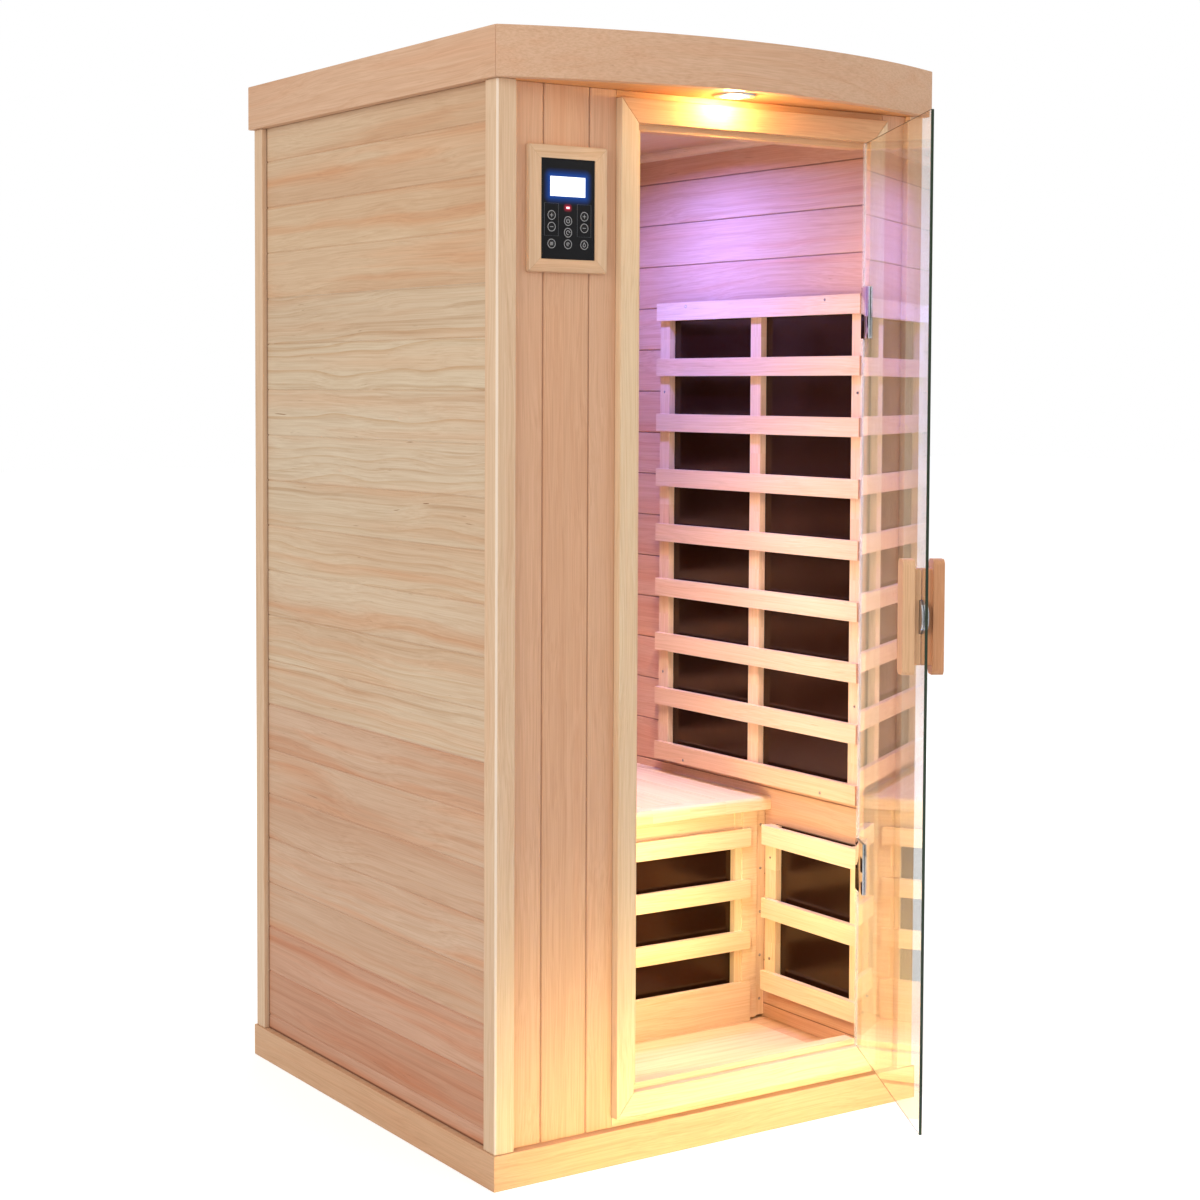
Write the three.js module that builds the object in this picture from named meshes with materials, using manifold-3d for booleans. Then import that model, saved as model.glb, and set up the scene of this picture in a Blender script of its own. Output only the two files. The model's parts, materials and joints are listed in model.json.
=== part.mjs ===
// One-person infrared sauna cabin: hemlock wall panels on a floor panel, a roof cap with a bowed
// visor, a glass door on two clamp hinges, a slatted bench and guarded heater panels.
// Millimetres, +Z up, front of the cabin towards -Y, origin at the centre of the underside.
import * as THREE from 'three';
import { mergeVertices } from 'three/addons/utils/BufferGeometryUtils.js';
import Module from 'manifold-3d';

const wasm = await Module();
wasm.setup();

// Overall sizes
const CABIN_WIDTH = 920;
const CABIN_DEPTH = 920;
const CABIN_HEIGHT = 1900;
const FIT = 0.3; // gap kept between pieces that seat on each other

// Floor panel
const BASE_HEIGHT = 60;
const BASE_REVEAL = 3; // floor panel stands proud of the posts
const FLOOR_RECESS = 3;
const FLOOR_MAT_THICKNESS = 6;
const FLOOR_BORDER = 34; // bare floor round the inset mat
const FLOOR_MAT_RADIUS = 25;

// Corner posts and wall panels
const POST_EASING = 6;
const WALL_RECESS = 9; // boards lie behind the post faces
const WALL_THICKNESS = 28;
const PLANK_PITCH = 87.6;
const FIRST_PLANK = 28; // narrow starting plank above the floor panel
const GROOVE_WIDTH = 3.2;
const GROOVE_DEPTH = 2.2;

// Front boards
const FRONT_THICKNESS = 24;
const FRONT_BOARD_PITCH = 90;
const FRONT_FIRST_BOARD = 60; // first board beside the left post
const FRONT_GROOVE_WIDTH = 5;
const FRONT_GROOVE_DEPTH = 3.5;

// Door frame
const DOORWAY_FROM_LEFT = 278; // from the left face of the floor panel
const DOORWAY_FROM_RIGHT = 131;
const SILL_STRIP = 18; // board strip between the floor panel and the frame
const HEAD_STRIP = 13; // board strip between the frame and the roof cap
const FRAME_STILE = 35;
const FRAME_RAIL = 41;
const STOP_PROJECTION = 12;
const JAMB_RELIEF = 22; // backing of the hinge jamb stands back from the doorway
const STOP_CLEARANCE = 6; // between the closed glass and its stop

// Roof cap
const FASCIA_HEIGHT = 83;
const FASCIA_THICKNESS = 22;
const ROOF_OVERHANG = 5;
const VISOR_BOW = 95;
const CEILING_THICKNESS = 12;
const SOFFIT_THICKNESS = 10;
const COVER_THICKNESS = 8;
const COVER_DROP = 15; // roof cover lies below the top of the fascia

// Lamps and supply in the roof
const DOWNLIGHT_RADIUS = 36;
const DOWNLIGHT_CAN_RADIUS = 30;
const DOWNLIGHT_CAN_HEIGHT = 34;
const DOWNLIGHT_FLANGE = 3;
const DOWNLIGHT_DISH = 8;
const DOWNLIGHT_LENS_RADIUS = 22;
const DOWNLIGHT_EASING = 1;
const DOWNLIGHT_X = -15;
const DOWNLIGHT_FROM_VISOR = 36; // from the inner face of the visor
const LAMP_RADIUS = 34;
const LAMP_HEIGHT = 12;
const LAMP_FLAT_RADIUS = 24; // nearly flat middle of the domed lens
const LAMP_DOME = 1;
const LAMP_SKIRT = 6;
const LAMP_X = 130;
const LAMP_Y = -50;
const SUPPLY_LENGTH = 250;
const SUPPLY_WIDTH = 150;
const SUPPLY_HEADROOM = 12; // free height under the roof cover
const SUPPLY_CORNER_RADIUS = 6;
const SUPPLY_X = -160;
const SUPPLY_Y = 150;
const GLAND_RADIUS = 11;
const GLAND_RISE = 8;

// Bench
const SEAT_HEIGHT = 450; // above the floor panel
const SEAT_THICKNESS = 20;
const SEAT_DEPTH = 486;
const SEAT_BOARD_PITCH = 88;
const NOSING_DEPTH = 36;
const NOSING_DROP = 6;
const NOSING_RADIUS = 9;
const BENCH_FRONT_SETBACK = 10; // bench front lies behind the nosing
const LEDGER_HEIGHT = 30;
const LEDGER_THICKNESS = 20;

// Heater panels and their slatted guards
const HEATER_THICKNESS = 6;
const FILM_SETBACK = 12.5; // edge of the heater behind its outer stiles
const STILE_THICKNESS = 14;
const SLAT_THICKNESS = 12;
const SLAT_LET_IN = 2; // slats are let into the stiles
const STILE_WIDTH = 33;
const SLAT_OVERHANG = 1;
const UPPER_SLAT_HEIGHT = 36.5;
const UPPER_SLATS = 9;
const UPPER_COLUMNS = 2;
const UPPER_ABOVE_SEAT = 29.5;
const UPPER_BELOW_CEILING = 319;
const UPPER_FROM_FRONT = 62;
const UPPER_FROM_REAR = 123;
const REAR_FROM_SIDE = 73;
const LOWER_SLAT_HEIGHT = 39;
const LOWER_SLATS = 3;
const LOWER_COLUMNS = 1;
const LOWER_ABOVE_FLOOR = 66;
const LOWER_BELOW_SEAT = 33;
const LOWER_FROM_FRONT = 51;
const LOWER_FROM_BENCH = 18;
const BENCH_SLAT_HEIGHT = 37;
const BENCH_SLATS = 3;
const BENCH_COLUMNS = 2;
const BENCH_KICK_HEIGHT = 80;
const BENCH_RAIL_REVEAL = 42; // of the rail between the top slat and the seat
const BENCH_END_GAP = 1; // between the bench front and the side walls
const BENCH_END_BATTEN = 19; // upright batten at each end of the slats
const BENCH_CLEAT_WIDTH = 21; // cleat that fastens it to the side wall
const BENCH_CLEAT_THICKNESS = 15;
const BENCH_BATTEN_THICKNESS = 18;
const BENCH_RAIL_THICKNESS = 10;
const BENCH_STILE_RELIEF = 2; // stiles and battens stop short of the floor and the seat

// Glass door
const GLASS_THICKNESS = 5;
const GLASS_SETBACK = 2; // glass face behind the frame face when closed
const GLASS_SIDE_GAP = 3;
const GLASS_HINGE_GAP = 8;
const GLASS_BOTTOM_GAP = 5;
const GLASS_TOP_GAP = 3;
const DOOR_REST_ANGLE = 61.5; // degrees open, as photographed

// Clamp hinges
const HINGE_HEIGHT = 92;
const HINGE_BARREL_RADIUS = 7;
const HINGE_PIN_RADIUS = 3;
const HINGE_MIDDLE_KNUCKLE = 44;
const HINGE_RUNNING_GAP = 0.5; // between the end knuckles and the clamp
const HINGE_LEAF_THICKNESS = 2.7;
const HINGE_LEAF_WIDTH = 15;
const HINGE_CLAMP_WIDTH = 60;
const HINGE_CLAMP_PLATE = 2.7;
const HINGE_WEB = 2;
const LOWER_HINGE_RISE = 340; // hinge centre above the foot of the doorway
const UPPER_HINGE_DROP = 306; // hinge centre below the head of the doorway

// Door pulls
const PULL_HEIGHT = 957;
const PULL_FROM_EDGE = 35;
const PULL_BAR_LENGTH = 186;
const PULL_BAR_WIDTH = 36;
const PULL_BAR_RADIUS = 10;
const PULL_INNER_BAR = 20;
const PULL_OUTER_BAR = 18;
const PULL_BLOCK_LENGTH = 156;
const PULL_BLOCK_WIDTH = 16;
const PULL_BLOCK_DEPTH = 12.5;
const PULL_BLOCK_RADIUS = 4;
const PULL_DISC_RADIUS = 28.5;
const PULL_DISC_THICKNESS = 3;

// Control panel
const BEZEL_WIDTH = 155;
const BEZEL_HEIGHT = 208;
const BEZEL_DEPTH = 9;
const BEZEL_FROM_FRAME = 100.5; // bezel centre to the door frame
const BEZEL_FROM_CAP = 204; // bezel centre to the roof cap
const BEZEL_BEVEL = 3;
const BEZEL_CORNER_RADIUS = 3;
const KEYPAD_WIDTH = 105;
const KEYPAD_HEIGHT = 164;
const KEYPAD_DEPTH = 7;
const DISPLAY_WIDTH = 68;
const DISPLAY_HEIGHT = 32;
const DISPLAY_DEPTH = 1.5;
const DISPLAY_ABOVE_CENTRE = 37;
const KEY_RADIUS = 8.5;
const KEY_PROUD = 0.8;
const KEY_BACK_WALL = 1;
const KEY_SEAT_GAP = 0.7;
const KEY_COLUMN_PITCH = 32;
const KEY_BELOW_CENTRE = { outer: [-10.5, -29.5, -57], middle: [-19, -38, -57] };

// Fineness of the curves
const VISOR_SEGMENTS = 28;
const KEY_SEGMENTS = 6;
const OVERLAP = 1; // depth by which joined shapes run into each other

// Places worked out from the sizes above
const halfWidth = CABIN_WIDTH / 2;
const halfDepth = CABIN_DEPTH / 2;
const wallTop = CABIN_HEIGHT - FASCIA_HEIGHT;
const postOuterX = halfWidth - BASE_REVEAL;
const postOuterY = halfDepth - BASE_REVEAL;
const postSize = WALL_RECESS + WALL_THICKNESS; // posts end flush with the lining of the walls
const wallOuterX = postOuterX - WALL_RECESS;
const wallOuterY = postOuterY - WALL_RECESS;
const wallInnerX = postOuterX - postSize;
const wallInnerY = postOuterY - postSize;
const frontFace = -halfDepth; // face of the door frame
const frontInner = -wallInnerY;
const boardFace = frontInner - FRONT_THICKNESS;
const doorLeft = DOORWAY_FROM_LEFT - halfWidth;
const doorRight = halfWidth - DOORWAY_FROM_RIGHT;
const frameLeft = doorLeft - FRAME_STILE;
const frameRight = doorRight + FRAME_STILE;
const frameBottom = BASE_HEIGHT + SILL_STRIP;
const frameTop = wallTop - HEAD_STRIP;
const doorBottom = frameBottom + FRAME_RAIL;
const doorTop = frameTop - FRAME_RAIL;
const roofHalfX = halfWidth + ROOF_OVERHANG;
const roofHalfY = halfDepth + ROOF_OVERHANG;
const coverTop = CABIN_HEIGHT - COVER_DROP;
const coverBottom = coverTop - COVER_THICKNESS;
const seatFront = wallInnerY - SEAT_DEPTH;
const seatTop = BASE_HEIGHT + SEAT_HEIGHT;
const seatBottom = seatTop - SEAT_THICKNESS;
const guardDepth = STILE_THICKNESS + SLAT_THICKNESS - SLAT_LET_IN;
const benchFront = seatFront + BENCH_FRONT_SETBACK;
const benchFrame = benchFront + guardDepth;
const glassFront = frontFace + GLASS_SETBACK;
const glassBack = glassFront + GLASS_THICKNESS;
const glassLeft = doorLeft + GLASS_SIDE_GAP;
const glassRight = doorRight - GLASS_HINGE_GAP;
const clampFront = glassFront - FIT - HINGE_CLAMP_PLATE;
const clampBack = glassBack + FIT + HINGE_CLAMP_PLATE;
const hingeX = doorRight - HINGE_BARREL_RADIUS;
const hingeY = clampFront - HINGE_RUNNING_GAP - HINGE_BARREL_RADIUS;
const pullX = glassLeft + PULL_FROM_EDGE;

const X = new THREE.Vector3(1, 0, 0);
const Y = new THREE.Vector3(0, 1, 0);
const Z = new THREE.Vector3(0, 0, 1);
const upright = [X, Y, Z];
const alongX = [Y, Z, X];
const alongFront = [X, Z, Y.clone().negate()]; // shape in X and Z, pushed towards the front

// A box between two corners
function box(x0, x1, y0, y1, z0, z1) {
  const geometry = new THREE.BoxGeometry(x1 - x0, y1 - y0, z1 - z0);
  return geometry.translate((x0 + x1) / 2, (y0 + y1) / 2, (z0 + z1) / 2);
}

// A closed shape through points [a, b]
function outline(points) {
  return new THREE.Shape(points.map(([a, b]) => new THREE.Vector2(a, b)));
}

// A rectangle with rounded corners, centred on (a, b)
function roundedRectangle(width, height, radius, a = 0, b = 0) {
  const shape = new THREE.Shape();
  const corners = [[1, -1], [1, 1], [-1, 1], [-1, -1]];
  corners.forEach(([sideA, sideB], turn) => {
    const start = (turn - 1) * Math.PI / 2;
    const centreA = a + sideA * (width / 2 - radius);
    const centreB = b + sideB * (height / 2 - radius);
    shape.absarc(centreA, centreB, radius, start, start + Math.PI / 2);
  });
  return shape;
}

// A round outline, for a disc or for a hole
function circle(radius, a = 0, b = 0, Kind = THREE.Shape) {
  return new Kind().absarc(a, b, radius, 0, Math.PI * 2);
}

// A shape pushed from one level to another along the third of three axes
function extrude(shape, from, to, axes = upright, curveSegments = 8) {
  const geometry = new THREE.ExtrudeGeometry(shape, { depth: to - from, bevelEnabled: false, curveSegments });
  geometry.translate(0, 0, from);
  return geometry.applyMatrix4(new THREE.Matrix4().makeBasis(...axes));
}

// A shape in X and Z between two depths in Y
function frontal(shape, yFront, yBack, curveSegments) {
  return extrude(shape, -yBack, -yFront, alongFront, curveSegments);
}

function revolve(points, segments = 32) {
  const profile = points.map(([radius, height]) => new THREE.Vector2(radius, height));
  return new THREE.LatheGeometry(profile, segments).rotateX(Math.PI / 2);
}

function toSolid(geometry) {
  const bare = geometry.clone();
  bare.deleteAttribute('normal');
  bare.deleteAttribute('uv');
  const merged = mergeVertices(bare, 1e-4);
  const vertProperties = new Float32Array(merged.attributes.position.array);
  const triVerts = new Uint32Array(merged.index.array);
  return new wasm.Manifold(new wasm.Mesh({ numProp: 3, vertProperties, triVerts }));
}

function toGeometry(solid) {
  const mesh = solid.getMesh();
  const geometry = new THREE.BufferGeometry();
  geometry.setAttribute('position', new THREE.BufferAttribute(new Float32Array(mesh.vertProperties), 3));
  geometry.setIndex(new THREE.BufferAttribute(new Uint32Array(mesh.triVerts), 1));
  geometry.computeVertexNormals();
  return geometry;
}

function join(...geometries) {
  return toGeometry(geometries.map(toSolid).reduce((whole, piece) => whole.add(piece)));
}

function cut(geometry, ...tools) {
  return toGeometry(tools.map(toSolid).reduce((whole, tool) => whole.subtract(tool), toSolid(geometry)));
}

const cabin = new THREE.Group();
const door = new THREE.Group();
cabin.add(door);
door.position.set(hingeX, hingeY, 0);
door.rotation.z = THREE.MathUtils.degToRad(DOOR_REST_ANGLE);

// Pieces of the door are drawn closed, in the cabin's frame, and turn with the door
function add(name, geometry, finish, parent = cabin) {
  const placed = parent === door ? geometry.translate(-hingeX, -hingeY, 0) : geometry;
  const mesh = new THREE.Mesh(placed, finish());
  mesh.name = name;
  parent.add(mesh);
}

const finishOf = (color, roughness, metalness = 0, extra = {}) => () =>
  new THREE.MeshStandardMaterial({ color, roughness, metalness, ...extra });
const hemlock = finishOf(0xd8b48c, 0.6);
const hemlockFront = finishOf(0xcfa37f, 0.6);
const paleHemlock = finishOf(0xe3c6a0, 0.6);
const heaterFilm = finishOf(0x15100e, 0.25);
const chrome = finishOf(0xd0d2d4, 0.15, 1);
const clearGlass = finishOf(0xdfeee8, 0.03, 0, { transparent: true, opacity: 0.3 });
const blackPlastic = finishOf(0x0d0f14, 0.3);
const darkKey = finishOf(0x17181c, 0.4);
const litDisplay = finishOf(0xeaf6ff, 0.2);
const frostedLens = finishOf(0xf6ecd8, 0.35);
const plywood = finishOf(0xc9a77c, 0.8);
const greySteel = finishOf(0x9a9da1, 0.45, 0.8);

// Edge of a boarded face: V-grooves at each joint, walked upwards from low to high
function boardedEdge(face, inward, joints, width, depth) {
  return joints.flatMap((joint) => [
    [face, joint - width / 2],
    [face + inward * depth, joint],
    [face, joint + width / 2],
  ]);
}

// Joints between the horizontal planks of the walls
function plankJoints(bottom, top) {
  const joints = [];
  for (let z = BASE_HEIGHT + FIRST_PLANK; z < top - GROOVE_WIDTH; z += PLANK_PITCH) {
    if (z > bottom + GROOVE_WIDTH) joints.push(z);
  }
  return joints;
}

// Section of a wall panel: planks on the outside at `outer`, lining planks at `inner`
function wallSection(outer, inner) {
  const bottom = BASE_HEIGHT + FIT;
  const top = wallTop - FIT;
  const joints = plankJoints(bottom, top);
  const side = Math.sign(outer - inner);
  const outside = boardedEdge(outer, -side, joints, GROOVE_WIDTH, GROOVE_DEPTH);
  const inside = boardedEdge(inner, side, joints, GROOVE_WIDTH, GROOVE_DEPTH).reverse();
  return outline([[outer, bottom], ...outside, [outer, top], [inner, top], ...inside, [inner, bottom]]);
}

function addFloor() {
  const matHalfX = wallInnerX - guardDepth - HEATER_THICKNESS - FLOOR_BORDER / 2;
  const matFront = frontInner + FLOOR_BORDER;
  const matBack = benchFront - FLOOR_BORDER / 2;
  const matCentre = (matFront + matBack) / 2;
  const mat = roundedRectangle(matHalfX * 2, matBack - matFront, FLOOR_MAT_RADIUS, 0, matCentre);
  const recess = roundedRectangle(
    (matHalfX + FIT) * 2, matBack - matFront + FIT * 2, FLOOR_MAT_RADIUS + FIT, 0, matCentre);
  const recessFloor = BASE_HEIGHT - FLOOR_RECESS;
  const panel = box(-halfWidth, halfWidth, -halfDepth, halfDepth, 0, BASE_HEIGHT);
  add('floor_panel', cut(panel, extrude(recess, recessFloor, BASE_HEIGHT + FLOOR_RECESS)), hemlock);
  const matBottom = recessFloor + FIT;
  add('floor_mat', extrude(mat, matBottom, matBottom + FLOOR_MAT_THICKNESS), paleHemlock);
}

// Corner post with its outer edge eased
function addPost(name, sideX, sideY) {
  const outerX = sideX * postOuterX;
  const outerY = sideY * postOuterY;
  const innerX = sideX * wallInnerX;
  const innerY = sideY * wallInnerY;
  const section = new THREE.Shape();
  section.moveTo(innerX, innerY);
  section.lineTo(outerX, innerY);
  section.lineTo(outerX, outerY - sideY * POST_EASING);
  section.quadraticCurveTo(outerX, outerY, outerX - sideX * POST_EASING, outerY);
  section.lineTo(innerX, outerY);
  add(name, extrude(section, BASE_HEIGHT + FIT, wallTop - FIT), hemlock);
}

function addWalls() {
  const wallEnd = wallInnerY - FIT;
  const rearEnd = wallInnerX - FIT;
  add('left_wall_panel', wallAlongY(-wallOuterX, -wallInnerX, wallEnd), hemlock);
  add('right_wall_panel', wallAlongY(wallOuterX, wallInnerX, wallEnd), hemlock);
  add('rear_wall_panel', extrude(wallSection(wallOuterY, wallInnerY), -rearEnd, rearEnd, alongX), hemlock);
}

function wallAlongY(outer, inner, end) {
  return frontal(wallSection(outer, inner), -end, end);
}

// Front boards stand upright: a plan section with V-grooves, pushed up from the floor panel
function addFrontBoards() {
  const postEdge = wallInnerX - FIT;
  add('front_left_panel', frontBoards(-postEdge, frameLeft - FIT), hemlockFront);
  add('front_right_panel', frontBoards(frameRight + FIT, postEdge), hemlockFront);
}

function frontBoards(left, right) {
  const joints = [];
  const firstJoint = -wallInnerX + FRONT_FIRST_BOARD;
  for (let x = firstJoint; x < right - FRONT_GROOVE_WIDTH; x += FRONT_BOARD_PITCH) {
    if (x > left + FRONT_GROOVE_WIDTH) joints.push(x);
  }
  const edge = boardedEdge(boardFace, 1, joints, FRONT_GROOVE_WIDTH, FRONT_GROOVE_DEPTH);
  const front = edge.map(([depth, along]) => [along, depth]);
  const section = [[left, boardFace], ...front, [right, boardFace], [right, frontInner], [left, frontInner]];
  return extrude(outline(section), BASE_HEIGHT + FIT, wallTop - FIT);
}

// Door frame: four mitred members with the door stop behind their faces; the hinge jamb has no stop
function addDoorFrame() {
  const stop = STOP_PROJECTION;
  const stopFace = glassBack + STOP_CLEARANCE;
  const outer = { left: frameLeft, right: frameRight, low: frameBottom, high: frameTop };
  const inner = { left: doorLeft, right: doorRight, low: doorBottom, high: doorTop };
  const stopped = {
    left: doorLeft + stop, right: doorRight - stop, low: doorBottom + stop, high: doorTop - stop,
  };
  const stile = (from, to, side) => outline([
    [from[side], from.low + FIT], [from[side], from.high - FIT],
    [to[side], to.high - FIT], [to[side], to.low + FIT],
  ]);
  const rail = (from, to, level) => outline([
    [from.left, from[level]], [from.right, from[level]], [to.right, to[level]], [to.left, to[level]],
  ]);
  const latchJamb = join(
    frontal(stile(outer, inner, 'left'), frontFace, frontInner),
    frontal(stile(inner, stopped, 'left'), stopFace, frontInner),
  );
  const relief = JAMB_RELIEF / FRAME_STILE;
  const relieved = {
    right: doorRight + JAMB_RELIEF,
    low: doorBottom - relief * FRAME_RAIL,
    high: doorTop + relief * FRAME_RAIL,
  };
  const hingeJamb = join(
    frontal(stile(outer, inner, 'right'), frontFace, boardFace),
    frontal(stile(outer, relieved, 'right'), boardFace - OVERLAP, frontInner),
  );
  const crossbar = (level, filler) => join(
    frontal(rail(outer, inner, level), frontFace, frontInner),
    frontal(rail(inner, stopped, level), stopFace, frontInner),
    filler,
  );
  const strip = (low, high) => box(frameLeft, frameRight, boardFace, frontInner, low, high);
  add('door_frame_left', latchJamb, hemlock);
  add('door_frame_right', hingeJamb, hemlock);
  add('door_frame_head', crossbar('high', strip(frameTop, wallTop - FIT)), hemlock);
  add('door_frame_sill', crossbar('low', strip(BASE_HEIGHT + FIT, frameBottom)), hemlock);
}

// The visor is an arc through both front corners of the roof, bowed out by VISOR_BOW
const visorRadius = (roofHalfX ** 2 + VISOR_BOW ** 2) / (2 * VISOR_BOW);
const visorCentreY = -roofHalfY - VISOR_BOW + visorRadius;
const innerHalfX = roofHalfX - FASCIA_THICKNESS;
const innerHalfY = roofHalfY - FASCIA_THICKNESS;
const innerRadius = visorRadius - FASCIA_THICKNESS;
const downwards = -Math.PI / 2;

function visorArc(shape, radius, halfX, reverse = false) {
  const swing = Math.asin(halfX / radius);
  const turn = reverse ? -swing : swing;
  shape.absarc(0, visorCentreY, radius, downwards - turn, downwards + turn, reverse);
}

function arcY(radius, x) {
  return visorCentreY - Math.sqrt(radius ** 2 - x ** 2);
}

function addFascia() {
  const low = wallTop;
  const high = CABIN_HEIGHT;
  const front = new THREE.Shape();
  visorArc(front, visorRadius, roofHalfX);
  visorArc(front, innerRadius, innerHalfX, true);
  add('visor_fascia', extrude(front, low, high, upright, VISOR_SEGMENTS), hemlock);
  const innerCorner = arcY(innerRadius, innerHalfX);
  const side = (s) => outline([
    [s * roofHalfX, -roofHalfY + FIT], [s * roofHalfX, roofHalfY - FIT],
    [s * innerHalfX, innerHalfY - FIT], [s * innerHalfX, innerCorner + FIT],
  ]);
  add('left_fascia', extrude(side(-1), low, high), hemlock);
  add('right_fascia', extrude(side(1), low, high), hemlock);
  const rear = outline([
    [-roofHalfX, roofHalfY], [-innerHalfX, innerHalfY], [innerHalfX, innerHalfY], [roofHalfX, roofHalfY],
  ]);
  add('rear_fascia', extrude(rear, low, high), hemlock);
}

// Plan of the roof inside the fascia, from a straight back edge to the visor
function roofPlan(back) {
  const plan = new THREE.Shape();
  visorArc(plan, innerRadius - FIT, innerHalfX - FIT);
  plan.lineTo(innerHalfX - FIT, back);
  plan.lineTo(-innerHalfX + FIT, back);
  return plan;
}

const soffitBack = -innerHalfY;
const downlightY = arcY(innerRadius, 0) + DOWNLIGHT_FROM_VISOR;

function addRoof() {
  const edgeX = innerHalfX - FIT;
  const edgeY = innerHalfY - FIT;
  const ceiling = box(-edgeX, edgeX, soffitBack + FIT, edgeY, wallTop, wallTop + CEILING_THICKNESS);
  add('ceiling_panel', ceiling, paleHemlock);
  const soffit = roofPlan(soffitBack);
  soffit.holes.push(circle(DOWNLIGHT_CAN_RADIUS + FIT, DOWNLIGHT_X, downlightY, THREE.Path));
  const soffitTop = wallTop + SOFFIT_THICKNESS;
  add('visor_soffit', extrude(soffit, wallTop, soffitTop, upright, VISOR_SEGMENTS), hemlock);
  const cover = roofPlan(edgeY);
  cover.holes.push(circle(GLAND_RADIUS + FIT, SUPPLY_X, SUPPLY_Y, THREE.Path));
  add('roof_cover', extrude(cover, coverBottom, coverTop, upright, VISOR_SEGMENTS), plywood);
}

function addRoofFittings() {
  const face = wallTop - FIT;
  const rim = face - DOWNLIGHT_FLANGE;
  const dishRadius = DOWNLIGHT_CAN_RADIUS - DOWNLIGHT_FLANGE;
  const downlight = revolve([
    [0, rim + DOWNLIGHT_DISH], [DOWNLIGHT_LENS_RADIUS, rim + DOWNLIGHT_DISH], [dishRadius, rim],
    [DOWNLIGHT_RADIUS - DOWNLIGHT_EASING, rim], [DOWNLIGHT_RADIUS, face], [DOWNLIGHT_CAN_RADIUS, face],
    [DOWNLIGHT_CAN_RADIUS, face + DOWNLIGHT_CAN_HEIGHT], [0, face + DOWNLIGHT_CAN_HEIGHT],
  ]);
  add('downlight', downlight.translate(DOWNLIGHT_X, downlightY, 0), greySteel);
  const lampFace = face - LAMP_HEIGHT;
  const lamp = revolve([
    [0, lampFace], [LAMP_FLAT_RADIUS, lampFace + LAMP_DOME], [LAMP_RADIUS, face - LAMP_SKIRT],
    [LAMP_RADIUS, face], [0, face],
  ]);
  add('colour_lamp', lamp.translate(LAMP_X, LAMP_Y, 0), frostedLens);
  const deck = wallTop + CEILING_THICKNESS + FIT;
  const lid = coverBottom - SUPPLY_HEADROOM;
  const housing = roundedRectangle(SUPPLY_LENGTH, SUPPLY_WIDTH, SUPPLY_CORNER_RADIUS, SUPPLY_X, SUPPLY_Y);
  const gland = extrude(circle(GLAND_RADIUS, SUPPLY_X, SUPPLY_Y), lid - OVERLAP, coverTop + GLAND_RISE);
  add('power_supply', join(extrude(housing, deck, lid), gland), greySteel);
}

function addBench() {
  const end = wallInnerX - FIT;
  const back = wallInnerY - FIT;
  const joints = [];
  for (let x = SEAT_BOARD_PITCH / 2; x < end - GROOVE_WIDTH; x += SEAT_BOARD_PITCH) {
    joints.unshift(-x);
    joints.push(x);
  }
  const topEdge = boardedEdge(seatTop, -1, joints, GROOVE_WIDTH, GROOVE_DEPTH);
  const grooves = topEdge.map(([level, along]) => [along, level]).reverse();
  const section = outline([
    [-end, seatBottom], [end, seatBottom], [end, seatTop], ...grooves, [-end, seatTop],
  ]);
  const boards = frontal(section, seatFront + NOSING_DEPTH - OVERLAP, back);
  const nosing = new THREE.Shape();
  nosing.moveTo(seatFront + NOSING_DEPTH, seatBottom);
  nosing.lineTo(seatFront + NOSING_DEPTH, seatTop);
  nosing.lineTo(seatFront + NOSING_RADIUS, seatTop);
  nosing.quadraticCurveTo(seatFront, seatTop, seatFront, seatTop - NOSING_RADIUS);
  nosing.lineTo(seatFront, seatBottom - NOSING_DROP);
  nosing.lineTo(benchFront - FIT, seatBottom - NOSING_DROP);
  nosing.lineTo(benchFront - FIT, seatBottom);
  add('bench_seat', join(boards, extrude(nosing, -end, end, alongX)), paleHemlock);
  const ledgerTop = seatBottom - FIT;
  const ledger = box(
    -end, end, wallInnerY - LEDGER_THICKNESS, back, ledgerTop - LEDGER_HEIGHT, ledgerTop);
  add('bench_ledger', ledger, hemlock);
}

// A guard seen square on: slats [low, high] of the given reach lapped across stiles, about u = 0
function guard(columns, reach, slats, stileLow, stileHigh, extras = []) {
  const half = reach - SLAT_OVERHANG;
  const pitch = (2 * half - STILE_WIDTH) / columns;
  const pieces = [...extras];
  for (let i = 0; i <= columns; i += 1) {
    const u = -half + i * pitch;
    pieces.push(box(u, u + STILE_WIDTH, stileLow, stileHigh, 0, STILE_THICKNESS));
  }
  const front = [STILE_THICKNESS - SLAT_LET_IN, guardDepth];
  slats.forEach(([low, high]) => pieces.push(box(-reach, reach, low, high, ...front)));
  return join(...pieces);
}

// Slats of one height, spread evenly with the first at the bottom and the last at the top
function evenSlats(count, bottom, top, height) {
  const pitch = (top - bottom - height) / (count - 1);
  return Array.from({ length: count }, (_, i) => [bottom + i * pitch, bottom + i * pitch + height]);
}

// Where a guard stands: along and up the wall, and out of it into the cabin
const walls = {
  right: { axes: [Y.clone().negate(), Z, X.clone().negate()], depth: -wallInnerX, flip: -1 },
  left: { axes: [Y, Z, X], depth: -wallInnerX, flip: 1 },
  rear: { axes: [X, Z, Y.clone().negate()], depth: -wallInnerY, flip: 0 },
};

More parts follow.
